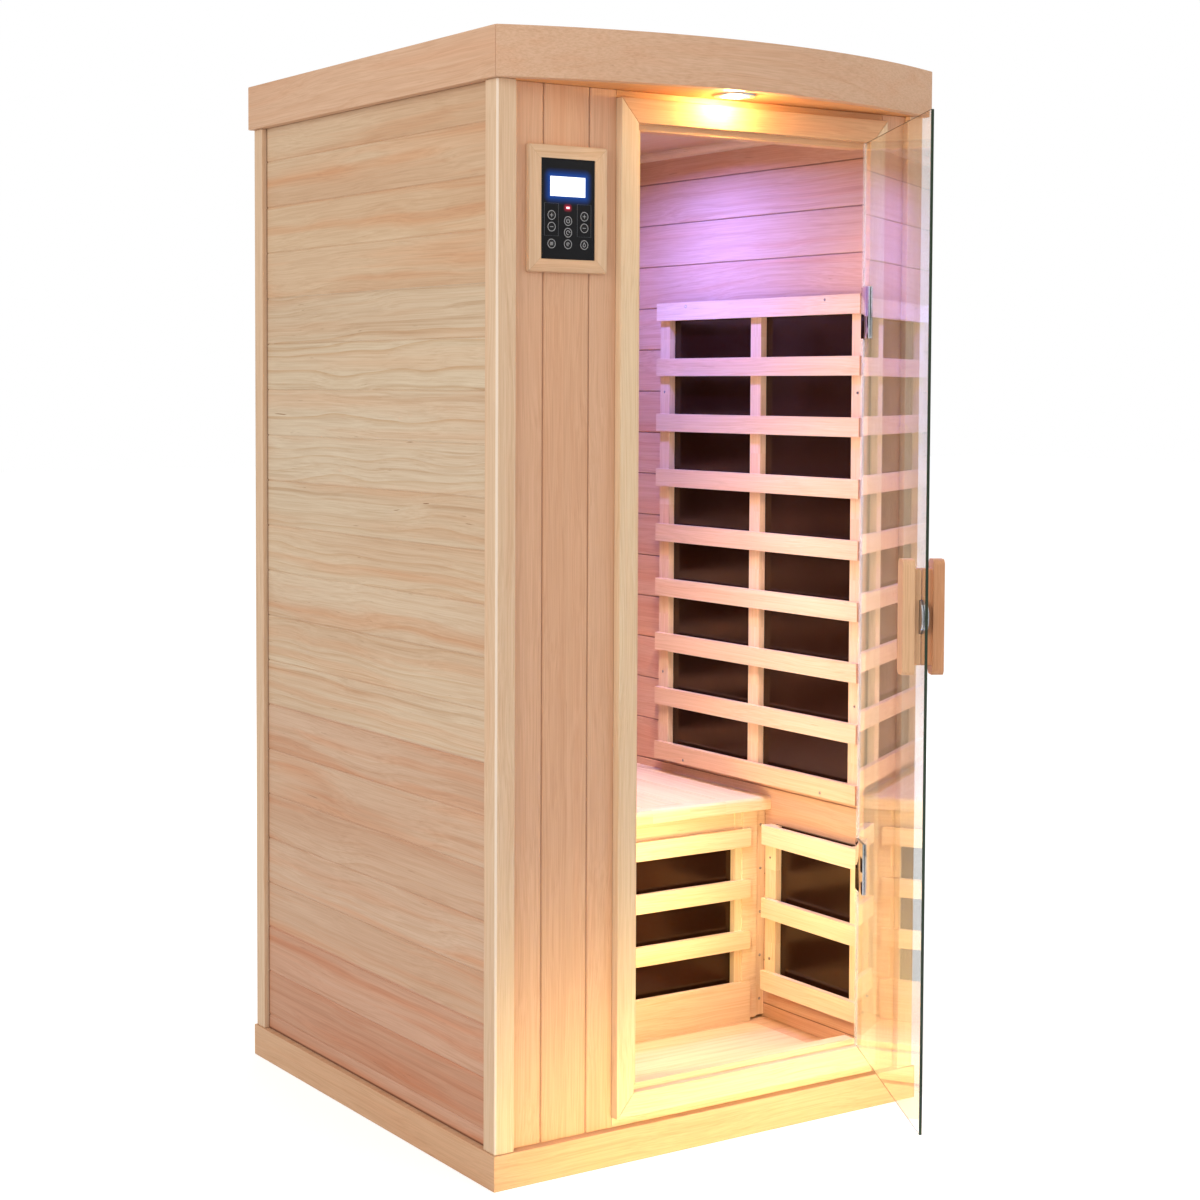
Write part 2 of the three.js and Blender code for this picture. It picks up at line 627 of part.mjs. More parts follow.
// A heater panel on a wall, from one end to the other along it, with its slatted guard over it
function addHeater(name, wall, [from, to], columns, slats) {
  const { axes, depth, flip } = walls[wall];
  const low = slats[0][0] + FIT;
  const high = slats[slats.length - 1][1] - FIT;
  const reach = (to - from) / 2;
  const place = (geometry, out) => {
    geometry.translate(flip * (from + to) / 2, 0, depth + out);
    return geometry.applyMatrix4(new THREE.Matrix4().makeBasis(...axes));
  };
  const filmEdge = reach - SLAT_OVERHANG - FILM_SETBACK;
  const film = box(-filmEdge, filmEdge, low, high, 0, HEATER_THICKNESS);
  add(`${name}_heater`, place(film, FIT), heaterFilm);
  const screen = guard(columns, reach, slats, low, high);
  add(`${name}_guard`, place(screen, HEATER_THICKNESS + 2 * FIT), paleHemlock);
}

function addHeaters() {
  const upperSpan = [frontInner + UPPER_FROM_FRONT, wallInnerY - UPPER_FROM_REAR];
  const rearSpan = [-wallInnerX + REAR_FROM_SIDE, wallInnerX - REAR_FROM_SIDE];
  const lowerSpan = [frontInner + LOWER_FROM_FRONT, benchFront - LOWER_FROM_BENCH];
  const upper = evenSlats(
    UPPER_SLATS, seatTop + UPPER_ABOVE_SEAT, wallTop - UPPER_BELOW_CEILING, UPPER_SLAT_HEIGHT);
  const lower = evenSlats(
    LOWER_SLATS, BASE_HEIGHT + LOWER_ABOVE_FLOOR, seatBottom - LOWER_BELOW_SEAT, LOWER_SLAT_HEIGHT);
  addHeater('right_upper', 'right', upperSpan, UPPER_COLUMNS, upper);
  addHeater('left_upper', 'left', upperSpan, UPPER_COLUMNS, upper);
  addHeater('rear', 'rear', rearSpan, UPPER_COLUMNS, upper);
  addHeater('right_lower', 'right', lowerSpan, LOWER_COLUMNS, lower);
  addHeater('left_lower', 'left', lowerSpan, LOWER_COLUMNS, lower);
}

// The bench front is a guard too: a kick board, slats, a rail under the seat and end battens
function addBenchFront() {
  const low = BASE_HEIGHT + FIT;
  const high = seatBottom - FIT;
  const kickTop = BASE_HEIGHT + BENCH_KICK_HEIGHT;
  const slatsTop = seatBottom - BENCH_RAIL_REVEAL;
  const slatPitch = (slatsTop - kickTop) / BENCH_SLATS;
  const firstSlat = kickTop + slatPitch - BENCH_SLAT_HEIGHT;
  const slats = [[low, kickTop], ...evenSlats(BENCH_SLATS, firstSlat, slatsTop, BENCH_SLAT_HEIGHT)];
  const end = wallInnerX - BENCH_END_GAP;
  const battenEnd = end - BENCH_CLEAT_WIDTH;
  const reach = battenEnd - BENCH_END_BATTEN;
  const half = reach - SLAT_OVERHANG;
  const railLow = slatsTop - BENCH_SLAT_HEIGHT / 2;
  const railFront = BENCH_STILE_RELIEF + BENCH_RAIL_THICKNESS;
  const rail = box(-half, half, railLow, high, BENCH_STILE_RELIEF, railFront);
  const endPost = (side, from, to, relief, thickness) => {
    const edges = [side * from, side * to].sort((a, b) => a - b);
    return box(...edges, low + relief, high - relief, 0, thickness);
  };
  const battens = [-1, 1].flatMap((side) => [
    endPost(side, half - STILE_WIDTH / 2, battenEnd, 2 * BENCH_STILE_RELIEF, BENCH_BATTEN_THICKNESS),
    endPost(side, battenEnd - OVERLAP, end, 3 * BENCH_STILE_RELIEF, BENCH_CLEAT_THICKNESS),
  ]);
  const stileSpan = [low + BENCH_STILE_RELIEF, high - BENCH_STILE_RELIEF];
  const screen = guard(BENCH_COLUMNS, reach, slats, ...stileSpan, [rail, ...battens]);
  screen.translate(0, 0, -benchFrame);
  screen.applyMatrix4(new THREE.Matrix4().makeBasis(...alongFront));
  add('bench_front_guard', screen, paleHemlock);
  const filmEdge = half - FILM_SETBACK;
  const filmFront = benchFrame + FIT;
  const filmLow = kickTop - 2 * FILM_SETBACK;
  const film = box(-filmEdge, filmEdge, filmFront, filmFront + HEATER_THICKNESS, filmLow, slatsTop);
  add('bench_heater', film, heaterFilm);
}

function addGlass() {
  const low = doorBottom + GLASS_BOTTOM_GAP;
  const high = doorTop - GLASS_TOP_GAP;
  add('door_glass', box(glassLeft, glassRight, glassFront, glassBack, low, high), clearGlass, door);
}

// Three-knuckle hinge: the wall leaf carries the end knuckles and the pin
function addHinge(name, centreZ) {
  const low = centreZ - HINGE_HEIGHT / 2;
  const high = centreZ + HINGE_HEIGHT / 2;
  const knuckleLow = centreZ - HINGE_MIDDLE_KNUCKLE / 2;
  const knuckleHigh = centreZ + HINGE_MIDDLE_KNUCKLE / 2;
  const barrel = (radius, from, to) => extrude(circle(radius, hingeX, hingeY), from, to);
  const leafFace = doorRight - FIT;
  const leafX = [leafFace - HINGE_LEAF_THICKNESS, leafFace];
  const ends = [[low, knuckleLow - FIT], [knuckleHigh + FIT, high]];
  const leaf = join(
    box(...leafX, frontFace, frontFace + HINGE_LEAF_WIDTH, low, high),
    barrel(HINGE_PIN_RADIUS, low, high),
    ...ends.map((span) => barrel(HINGE_BARREL_RADIUS, ...span)),
    ...ends.map((span) => box(...leafX, hingeY, frontFace + OVERLAP, ...span)),
  );
  add(`${name}_hinge_leaf`, leaf, chrome);

  const clampLeft = glassRight - HINGE_CLAMP_WIDTH;
  const clampRight = glassRight + FIT + HINGE_WEB;
  const clampBody = join(
    box(clampLeft, clampRight, clampFront, glassFront - FIT, low, high),
    box(clampLeft, clampRight, glassBack + FIT, clampBack, low, high),
    box(glassRight + FIT, clampRight, clampFront, clampBack, low, high),
    box(hingeX - HINGE_BARREL_RADIUS, clampRight, hingeY, glassFront - FIT, knuckleLow, knuckleHigh),
    barrel(HINGE_BARREL_RADIUS, knuckleLow, knuckleHigh),
  );
  const bore = barrel(HINGE_PIN_RADIUS + FIT, low, high);
  add(`${name}_hinge_clamp`, cut(clampBody, bore), chrome, door);
}

// A pull is a rounded bar on a narrower block, which is relieved over the clamping disc
function addPull(name, glassFace, outward, barDepth) {
  const level = (depth) => glassFace + outward * depth;
  const between = (shape, from, to) => frontal(shape, ...[level(from), level(to)].sort((a, b) => a - b));
  const disc = (radius) => circle(radius, pullX, PULL_HEIGHT);
  const block = roundedRectangle(
    PULL_BLOCK_WIDTH, PULL_BLOCK_LENGTH, PULL_BLOCK_RADIUS, pullX, PULL_HEIGHT);
  const bar = roundedRectangle(PULL_BAR_WIDTH, PULL_BAR_LENGTH, PULL_BAR_RADIUS, pullX, PULL_HEIGHT);
  const grip = join(
    between(block, FIT, PULL_BLOCK_DEPTH + OVERLAP),
    between(bar, PULL_BLOCK_DEPTH, PULL_BLOCK_DEPTH + barDepth),
  );
  const relief = between(disc(PULL_DISC_RADIUS + FIT), 0, PULL_DISC_THICKNESS + 2 * FIT);
  add(`${name}_pull`, cut(grip, relief), hemlock, door);
  const plate = between(disc(PULL_DISC_RADIUS), FIT, PULL_DISC_THICKNESS + FIT);
  add(`${name}_pull_disc`, plate, greySteel, door);
}

function addDoor() {
  addGlass();
  addHinge('lower', doorBottom + LOWER_HINGE_RISE);
  addHinge('upper', doorTop - UPPER_HINGE_DROP);
  addPull('inside', glassBack, 1, PULL_INNER_BAR);
  addPull('outside', glassFront, -1, PULL_OUTER_BAR);
}

// Control panel on the front boards: wooden bezel, black keypad, display window and nine keys
function addControls() {
  const back = boardFace - FIT;
  const bezelFront = back - BEZEL_DEPTH;
  const keypadFront = back - KEYPAD_DEPTH;
  const centred = (halfX, front, rear, halfZ, z = 0) => box(-halfX, halfX, front, rear, z - halfZ, z + halfZ);
  const keypadHalf = [KEYPAD_WIDTH / 2, KEYPAD_HEIGHT / 2];
  const opening = centred(keypadHalf[0] + FIT, bezelFront - OVERLAP, back + OVERLAP, keypadHalf[1] + FIT);
  const rim = (inset) => roundedRectangle(BEZEL_WIDTH - inset, BEZEL_HEIGHT - inset, BEZEL_CORNER_RADIUS);
  const blank = join(
    frontal(rim(0), bezelFront + BEZEL_BEVEL, back),
    frontal(rim(BEZEL_BEVEL), bezelFront, bezelFront + BEZEL_BEVEL + OVERLAP),
  );
  const atPanel = (geometry) => geometry.translate(frameLeft - BEZEL_FROM_FRAME, 0, wallTop - BEZEL_FROM_CAP);
  add('control_bezel', atPanel(cut(blank, opening)), hemlock);

  const keyPlaces = [-1, 0, 1].flatMap((column) => {
    const rows = column === 0 ? KEY_BELOW_CENTRE.middle : KEY_BELOW_CENTRE.outer;
    return rows.map((z) => [column * KEY_COLUMN_PITCH, z]);
  });
  const keyFloor = back - KEY_BACK_WALL;
  const wells = keyPlaces.map(([x, z]) =>
    frontal(circle(KEY_RADIUS + FIT, x, z), keypadFront - OVERLAP, keyFloor, KEY_SEGMENTS));
  const displayHalf = [DISPLAY_WIDTH / 2, DISPLAY_HEIGHT / 2];
  const displayBack = keypadFront + DISPLAY_DEPTH;
  const seatHalf = displayHalf.map((half) => half + FIT);
  const displaySeat = centred(
    seatHalf[0], keypadFront - OVERLAP, displayBack + FIT, seatHalf[1], DISPLAY_ABOVE_CENTRE);
  const plate = centred(keypadHalf[0], keypadFront, back, keypadHalf[1]);
  add('control_keypad', atPanel(cut(plate, displaySeat, ...wells)), blackPlastic);
  const screen = centred(displayHalf[0], keypadFront, displayBack, displayHalf[1], DISPLAY_ABOVE_CENTRE);
  add('display_window', atPanel(screen), litDisplay);

  const columnNames = ['left', 'middle', 'right'];
  keyPlaces.forEach(([x, z], i) => {
    const disc = circle(KEY_RADIUS, x, z);
    const key = frontal(disc, keypadFront - KEY_PROUD, keyFloor - KEY_SEAT_GAP, KEY_SEGMENTS);
    add(`key_${columnNames[Math.floor(i / 3)]}_${(i % 3) + 1}`, atPanel(key), darkKey);
  });
}

addFloor();
addPost('front_left_post', -1, -1);
addPost('front_right_post', 1, -1);
addPost('rear_left_post', -1, 1);
addPost('rear_right_post', 1, 1);
addWalls();
addFrontBoards();
addDoorFrame();
addFascia();
addRoof();
addRoofFittings();
addBench();
addBenchFront();
addHeaters();
addDoor();
addControls();

export default cabin;
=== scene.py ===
"""Looks of a one-person infrared sauna cabin: hemlock boards, clear glass, dark heater film and lit lamps.

Everything is in metres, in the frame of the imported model: +Z up, the door towards -Y.
"""

import json
import math

import bmesh
import bpy
from mathutils import Matrix, Vector


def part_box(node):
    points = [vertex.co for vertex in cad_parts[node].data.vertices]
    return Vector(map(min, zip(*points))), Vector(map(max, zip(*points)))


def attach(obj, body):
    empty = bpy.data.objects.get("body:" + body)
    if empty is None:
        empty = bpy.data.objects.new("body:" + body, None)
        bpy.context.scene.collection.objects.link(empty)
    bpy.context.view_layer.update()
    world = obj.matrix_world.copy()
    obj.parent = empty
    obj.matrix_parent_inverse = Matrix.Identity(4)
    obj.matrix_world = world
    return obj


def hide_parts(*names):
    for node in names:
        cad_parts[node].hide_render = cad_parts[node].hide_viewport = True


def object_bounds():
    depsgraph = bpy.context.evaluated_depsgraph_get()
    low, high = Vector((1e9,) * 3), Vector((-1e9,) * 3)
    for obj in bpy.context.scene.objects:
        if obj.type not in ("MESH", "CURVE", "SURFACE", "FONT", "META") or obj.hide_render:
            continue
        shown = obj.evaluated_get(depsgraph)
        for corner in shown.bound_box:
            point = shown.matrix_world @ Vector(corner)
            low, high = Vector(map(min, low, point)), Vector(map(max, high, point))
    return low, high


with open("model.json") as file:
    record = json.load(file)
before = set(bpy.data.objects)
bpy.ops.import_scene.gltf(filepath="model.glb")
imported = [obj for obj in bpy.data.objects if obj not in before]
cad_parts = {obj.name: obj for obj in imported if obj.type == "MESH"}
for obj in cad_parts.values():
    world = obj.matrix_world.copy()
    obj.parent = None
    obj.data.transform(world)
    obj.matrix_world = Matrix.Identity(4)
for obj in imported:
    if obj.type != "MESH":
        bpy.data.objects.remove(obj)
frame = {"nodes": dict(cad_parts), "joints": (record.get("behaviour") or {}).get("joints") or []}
NODES = frame["nodes"]
CAD_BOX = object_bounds()
MM = 0.001

# Camera, fitted to the photograph's frame of 1200 by 1200 pixels
CAMERA_PLACE = Vector((-2.3241, -3.555, 1.3181))
CAMERA_YAW = math.radians(33.737)
CAMERA_PITCH = math.radians(-2.933)
CAMERA_ROLL = math.radians(0.264)
CAMERA_SENSOR = 36.0
CAMERA_LENS = 67.124
CAMERA_SHIFT_Y = -0.08

# Boards, as they are laid on the model
PLANK_PITCH = 87.6 * MM
PLANK_START = 88 * MM
FRONT_BOARD_PITCH = 90 * MM
FRONT_BOARD_START = -360 * MM
SEAT_BOARD_PITCH = 88 * MM
SEAT_BOARD_START = 44 * MM
MAT_BOARD_PITCH = 105 * MM
MAT_BOARD_START = -386 * MM
NOSING_DEPTH = 36 * MM
SLAT_THICKNESS = 12 * MM
SLAT_LET_IN = 2 * MM
BENCH_RAIL_REVEAL = 42 * MM
BENCH_CLEAT_WIDTH = 21 * MM
BENCH_CLEAT_THICKNESS = 15 * MM
UPPER_SLAT_PITCH = 115.25 * MM
LOWER_SLAT_PITCH = 146 * MM
BENCH_SLAT_PITCH = 100.7 * MM

# Small forms
WELD_REACH = 0.002 * MM
EDGE_EASING = 1.2 * MM
SEAT_EASING = 0.7 * MM
GUARD_EASING = 0.4 * MM
HINGE_EASING = 0.4 * MM
METAL_EASING = 0.5 * MM
KEY_EASING = 0.3 * MM
EASING_SEGMENTS = 2
FLAT_ANGLE = math.radians(0.4)  # faces that differ by less are joined
SHARP_ANGLE = math.radians(30)  # edges that turn by more are eased
UNCLAMPED = "door_frame_left"  # its easing shrinks to nothing when bevels are kept from meeting
GLASS_BEVEL = 1 * MM
SEAL_WALL = 1.2 * MM
SEAL_GRIP = 11 * MM
SEAL_BULB = 5.5 * MM
SEAL_BULB_ANGLE = 62  # degrees to each side of its middle
SEAL_BULB_SINK = 0.47  # share of its radius
SEAL_GAP = 1 * MM  # to a hinge
BEAD_RADIUS = 16 * MM
LENS_PROFILE = ((25, 1.5), (24, 0.4), (16, -0.8), (6, -1.3))  # radius and height in millimetres
LENS_RISE = 4 * MM
LENS_SEGMENTS = 32
SCREW_RADIUS = 3 * MM
# Share of the radius, and height in millimetres, from the rim into the drive
SCREW_PROFILE = ((1.0, 0.0), (0.94, 0.35), (0.45, 0.5), (0.34, 0.12), (0.1, 0.06))
SCREW_SEGMENTS = 12
SCREW_FROM_END = 16 * MM
SCREW_FROM_SLAT_EDGE = 8.5 * MM
SCREW_FROM_MIDDLE = 224 * MM
BENCH_SCREW_FROM_END = 55 * MM
CLEAT_SCREWS = 5
CLEAT_SCREW_PITCH = 88 * MM
PRINT_DEPTH = 0.12 * MM
PRINT_WIDTH = 0.75 * MM
KEY_RING_RADIUS = 7.2 * MM
KEY_RING_POINTS = 32
PAIR_FRAME_WIDTH = 0.4 * MM
PAIR_FRAME_REACH = 5 * MM
PAIR_FRAME_FOOT = 6 * MM
PAIR_FRAME_HEAD = 11 * MM
LED_HALF = Vector((3.2 * MM, 0.5 * MM, 1.6 * MM))
LED_RISE = 2.6 * MM
LED_BEVEL = 0.2 * MM
LED_SPILL = 6 * MM
DISPLAY_SPILL = 15 * MM
SHADOW_GAP = 8 * MM
JOINT_LINE = 1.2 * MM
MITRE_LINE = 0.5 * MM
SIDE_FACING = 0.7  # share of a normal along X
CORNER_FACING = 0.4  # share of a normal along X and along Y
CONTACT = 0.05 * MM  # how far an added piece stands off the surface under it

# Light
WORLD_LIGHT = 0.73
WORLD_REFLECTED = (0.32, 1.1)  # at the horizon and overhead
FLOOR_REACH = 30.0
FLOOR_GLOW = 0.45
LAMP_WARM = (1.0, 0.63, 0.21)
LAMP_YELLOW = (1.0, 0.84, 0.34)
LAMP_FILL = (0.96, 0.85, 0.85)
LAMP_VIOLET = (0.19, 0.22, 1.0)
# Studio lamps: place, target, watts and size
STUDIO_LAMPS = {
    "key": ((-4.4, -2.0, 3.0), (0.0, 0.0, 0.95), 80.0, 3.0),
    "front_fill": ((3.0, -3.8, 2.4), (0.2, -0.4, 1.2), 27.0, 2.0),
    "rear_fill": ((3.4, 3.6, 2.6), (0.0, 0.0, 0.95), 60.0, 3.0),
}


def srgb(red, green, blue):
    """A colour written in display values of 0 to 255, as the shader wants it."""
    def linear(value):
        share = value / 255
        return share / 12.92 if share <= 0.04045 else ((share + 0.055) / 1.055) ** 2.4
    return (linear(red), linear(green), linear(blue), 1.0)


# Wood tones
SIDE_TONE = srgb(210, 180, 150)
FRONT_TONE = srgb(221, 176, 142)
FRAME_TONE = srgb(225, 195, 163)
DOOR_FRAME_TONE = srgb(230, 202, 166)
# The head of the door frame is darker and more orange than the jambs: painted shade, for the shade of the visor
# with the warm lamp's light on it
HEAD_TONE = srgb(220, 172, 130)
CAP_TONE = srgb(218, 178, 146)
# A redder tone for the soffit: painted warm light from the lamp under the visor
SOFFIT_TONE = srgb(232, 170, 112)
INNER_TONE = srgb(214, 171, 143)
SLAT_TONE = srgb(226, 192, 160)
PALE_TONE = srgb(232, 204, 170)
# The outside pull is darker and more orange than the inside pull: painted shade, as it stands in shade
INSIDE_PULL_TONE = srgb(232, 187, 144)
OUTSIDE_PULL_TONE = srgb(210, 152, 110)
PLY_TONE = srgb(200, 170, 130)
BASE_TONE = srgb(220, 180, 145)
# Dark joint lines where members meet, and the painted shade of the left wall's shadow gaps
SEAM_AND_SHADE_TONE = srgb(104, 60, 38)
# A painted highlight where the posts' eased corners catch the light: its tone and how strongly it is laid on
HIGHLIGHT_TONE = srgb(248, 232, 214)
HIGHLIGHT_SHARE = 0.6
# The left wall is laid from sorted planks: from each height up, a tone, its lines and its streaks
LEFT_WALL_PLANKS = (
    (0.0, srgb(211, 167, 140), 0.55, 1.0),
    (PLANK_START + 2 * PLANK_PITCH, srgb(214, 181, 153), 0.55, 1.0),
    (PLANK_START + 7 * PLANK_PITCH, srgb(218, 194, 165), 0.8, 0.8),
    (PLANK_START + 11 * PLANK_PITCH, srgb(216, 195, 167), 1.0, 0.5),
    (PLANK_START + 16 * PLANK_PITCH, srgb(215, 185, 152), 0.25, 1.0),
)
# What grain does to a tone
RING_SHADE = (0.86, 0.74, 0.62, 1.0)
LINE_SHADE = (0.76, 0.64, 0.53, 1.0)
STREAK_SHADE = (0.98, 0.74, 0.60, 1.0)
CLOUD_SHADE = (0.90, 0.80, 0.74, 1.0)
FIBRE_SHADE = (0.86, 0.80, 0.74, 1.0)
PORE_SHADE = (0.50, 0.36, 0.26, 1.0)
KNOT_SHADE = (0.30, 0.17, 0.10, 1.0)
RED_BOARD = (0.86, 0.72, 0.64, 1.0)
STRAW_BOARD = (1.0, 0.98, 0.84, 1.0)
RING_PITCH = 17 * MM
RING_SLOPE = 0.012
RING_START, RING_END = 0.35, 0.97  # where in its pitch a ring darkens and ends
GRAIN_SWAY = 14 * MM
GRAIN_SHIFT = (9.0, 9.0, 9.0)  # how far at most a board is moved through the grain
SEED_STEP = 7.31  # keeps the board numbers of two pieces apart
CROSS_STEP = 3.7  # and those of turned members
KNOT_CHOICE = 0.6  # cells with a higher chance have a knot
KNOT_EDGE = (0.012, 0.045)  # where a knot fades, in cells
# Cells a metre along the grain and across it
SWAY_CELLS = (1.6, 7.0, 7.0)
FIBRE_CELLS = (5.0, 480.0, 480.0)
KNOT_CELLS = (3.0, 12.0, 12.0)
# Cells a metre along and across the grain, detail, roughness, and where a mark starts and is full
GRAIN_MARKS = {
    "streak": (0.9, 32.0, 2.0, 0.5, 0.48, 0.72),
    "line": (0.3, 120.0, 3.0, 0.6, 0.52, 0.72),
    "clump": (0.4, 14.0, 2.0, 0.5, 0.40, 0.62),
    "cloud": (0.8, 10.0, 2.0, 0.5, 0.42, 0.66),
    "pore": (11.0, 260.0, 2.0, 0.5, 0.72, 0.78),
}
BRUSH_CELLS = (60.0, 60.0, 900.0)  # brush marks of metal a metre, along X, Y and Z


class Graph:
    """A material's node tree around one Principled shader."""

    def __init__(self, name):
        self.material = bpy.data.materials.new(name)
        self.material.use_nodes = True
        self.tree = self.material.node_tree
        self.tree.nodes.clear()
        self.shader = self.add("ShaderNodeBsdfPrincipled")
        self.output = self.add("ShaderNodeOutputMaterial")
        self.tree.links.new(self.shader.outputs[0], self.output.inputs["Surface"])

    def add(self, kind, **settings):
        node = self.tree.nodes.new(kind)
        for key, value in settings.items():
            setattr(node, key, value)
        return node

    def put(self, socket, value):
        if isinstance(value, bpy.types.NodeSocket):
            self.tree.links.new(value, socket)
        else:
            socket.default_value = value

    def set(self, **values):
        for key, value in values.items():
            self.put(self.shader.inputs[key.replace("_", " ")], value)

    def math(self, operation, *values):
        node = self.add("ShaderNodeMath", operation=operation)
        for socket, value in zip(node.inputs, values):
            self.put(socket, value)
        return node.outputs[0]

    def vector(self, operation, *values):
        node = self.add("ShaderNodeVectorMath", operation=operation)
        for socket, value in zip(node.inputs, values):
            self.put(socket, value)
        return node.outputs["Vector"]

    def combine(self, x, y, z):
        node = self.add("ShaderNodeCombineXYZ")
        for socket, value in zip(node.inputs, (x, y, z)):
            self.put(socket, value)
        return node.outputs[0]

    def split(self, vector):
        node = self.add("ShaderNodeSeparateXYZ")
        self.put(node.inputs[0], vector)
        return dict(zip("XYZ", node.outputs))

    def place(self):
        """The point of the surface in the model's frame."""
        return self.add("ShaderNodeTexCoord").outputs["Object"]

    def normal(self):
        return self.add("ShaderNodeTexCoord").outputs["Normal"]

    def noise(self, vector, scale, detail=3.0, roughness=0.55):
        """Noise at one scale, or at a scale for each axis."""
        if isinstance(scale, tuple):
            vector = self.vector("MULTIPLY", vector, scale)
            scale = 1.0
        node = self.add("ShaderNodeTexNoise")
        self.put(node.inputs["Vector"], vector)
        node.inputs["Scale"].default_value = scale
        node.inputs["Detail"].default_value = detail
        node.inputs["Roughness"].default_value = roughness
        return node.outputs["Fac"]

    def span(self, value, low, high, to_low=0.0, to_high=1.0):
        """A value moved from one range to another, held at its ends."""
        node = self.add("ShaderNodeMapRange")
        for socket, number in zip(node.inputs, (value, low, high, to_low, to_high)):
            self.put(socket, number)
        return node.outputs[0]

    def mix(self, share, first, second, blend="MIX"):
        node = self.add("ShaderNodeMix", data_type="RGBA", blend_type=blend)
        self.put(node.inputs[0], share)
        self.put(node.inputs[6], first)
        self.put(node.inputs[7], second)
        return node.outputs[2]

    def tint(self, colour, shade, *shares):
        """A colour multiplied by a shade, as far as the product of some shares says."""
        share = shares[0]
        for other in shares[1:]:
            share = self.math("MULTIPLY", share, other)
        return self.mix(share, colour, shade, "MULTIPLY")

    def bump(self, height, strength, distance):
        node = self.add("ShaderNodeBump")
        node.inputs["Strength"].default_value = strength
        node.inputs["Distance"].default_value = distance
        self.put(node.inputs["Height"], height)
        self.put(self.shader.inputs["Normal"], node.outputs[0])

    def chance(self, value):
        """Three random shares that stay the same for the same value."""
        node = self.add("ShaderNodeTexWhiteNoise", noise_dimensions="1D")
        self.put(node.inputs["W"], value)
        return node.outputs["Color"]

    def steps(self, value, stops):
        """Colours that change in steps at some values between 0 and 1."""
        node = self.add("ShaderNodeValToRGB")
        ramp = node.color_ramp
        ramp.interpolation = "CONSTANT"
        ramp.elements.remove(ramp.elements[1])
        for position, colour in stops[1:]:
            ramp.elements.new(position).color = colour
        ramp.elements[0].color = stops[0][1]
        self.put(node.inputs[0], value)
        return node.outputs[0]


def laid_along(graph, axes, grain):
    """Places with the grain's axis first."""
    others = [axis for axis in "XYZ" if axis != grain]
    return graph.combine(axes[grain], axes[others[0]], axes[others[1]])


def growth_rings(graph, grown):
    """Rings that darken slowly and end at once, each with a strength of its own."""
    axes = graph.split(grown)
    slope = graph.math("MULTIPLY", axes["X"], RING_SLOPE)
    across = graph.math("ADD", graph.math("ADD", axes["Y"], axes["Z"]), slope)
    count = graph.math("DIVIDE", across, RING_PITCH)
    strength = graph.split(graph.chance(graph.math("FLOOR", count)))["X"]
    late = graph.span(graph.math("FRACT", count), RING_START, RING_END)
    early = graph.span(graph.math("FRACT", count), RING_END, 1.0, 1.0, 0.0)
    band = graph.math("MULTIPLY", graph.math("POWER", late, 1.6), early)
    return graph.math("MULTIPLY", band, graph.span(strength, 0.2, 1.0, 0.1, 1.0))


def pin_knots(graph, moved):
    """A few small dark knots, drawn out along the grain."""
    node = graph.add("ShaderNodeTexVoronoi")
    graph.put(node.inputs["Vector"], graph.vector("MULTIPLY", moved, KNOT_CELLS))
    node.inputs["Scale"].default_value = 1.0
    chosen = graph.math("GREATER_THAN", graph.split(node.outputs["Color"])["X"], KNOT_CHOICE)
    spot = graph.span(node.outputs["Distance"], *KNOT_EDGE, 1.0, 0.0)
    return graph.math("MULTIPLY", spot, chosen)


def board_number(graph, axes, boards, seed):
    """A number for each board of a row, or the seed where the piece is one board."""
    if not boards:
        return float(seed)
    axis, pitch, start = boards
    steps = graph.math("DIVIDE", graph.math("SUBTRACT", axes[axis], start), pitch)
    return graph.math("ADD", graph.math("FLOOR", steps), seed * SEED_STEP)


def turn_members(graph, axes, along, number, cross):
    """Places and board numbers of a piece, some of whose members have their grain along another axis."""
    grain, mark = cross
    mask = mark(graph, axes)
    turned = graph.add("ShaderNodeMix", data_type="VECTOR")
    graph.put(turned.inputs[0], mask)
    graph.put(turned.inputs[4], along)
    graph.put(turned.inputs[5], laid_along(graph, axes, grain))
    return turned.outputs[1], graph.math("ADD", graph.math("MULTIPLY", mask, CROSS_STEP), number)


def sort_planks(graph, axes, planks):
    """Tone, lines and streaks by height."""
    top = CAD_BOX[1].z
    height = graph.math("DIVIDE", axes["Z"], top)
    tones = [(start / top, tone) for start, tone, *_ in planks]
    weights = [(start / top, (lines, streaks, 0.0, 1.0)) for start, _, lines, streaks in planks]
    shares = graph.split(graph.steps(height, weights))
    return graph.steps(height, tones), shares["X"], shares["Y"]


def grain_marks(graph, moved):
    """How strong each mark of the grain is at a place."""
    wave = graph.noise(moved, SWAY_CELLS, 2.0)
    sway = graph.span(wave, 0.2, 0.8, -GRAIN_SWAY, GRAIN_SWAY)
    grown = graph.vector("ADD", moved, graph.combine(0.0, sway, sway))
    marks = {"ring": growth_rings(graph, grown), "fibre": graph.noise(grown, FIBRE_CELLS, 3.0, 0.6)}
    for name, (length, width, detail, roughness, low, high) in GRAIN_MARKS.items():
        noise = graph.noise(grown, (length, width, width), detail, roughness)
        marks[name] = graph.span(noise, low, high)
    return marks


def grain_colour(graph, tone, marks, lines, streaks):
    """A tone with the marks of the grain on it."""
    colour = graph.tint(tone, CLOUD_SHADE, marks["cloud"], streaks)
    colour = graph.tint(colour, STREAK_SHADE, marks["streak"], streaks)
    colour = graph.tint(colour, RING_SHADE, marks["ring"], lines)
    colour = graph.tint(colour, LINE_SHADE, marks["line"], marks["clump"], lines)
    colour = graph.tint(colour, FIBRE_SHADE, graph.span(marks["fibre"], 0.38, 0.72))
    return graph.tint(colour, PORE_SHADE, marks["pore"], lines)


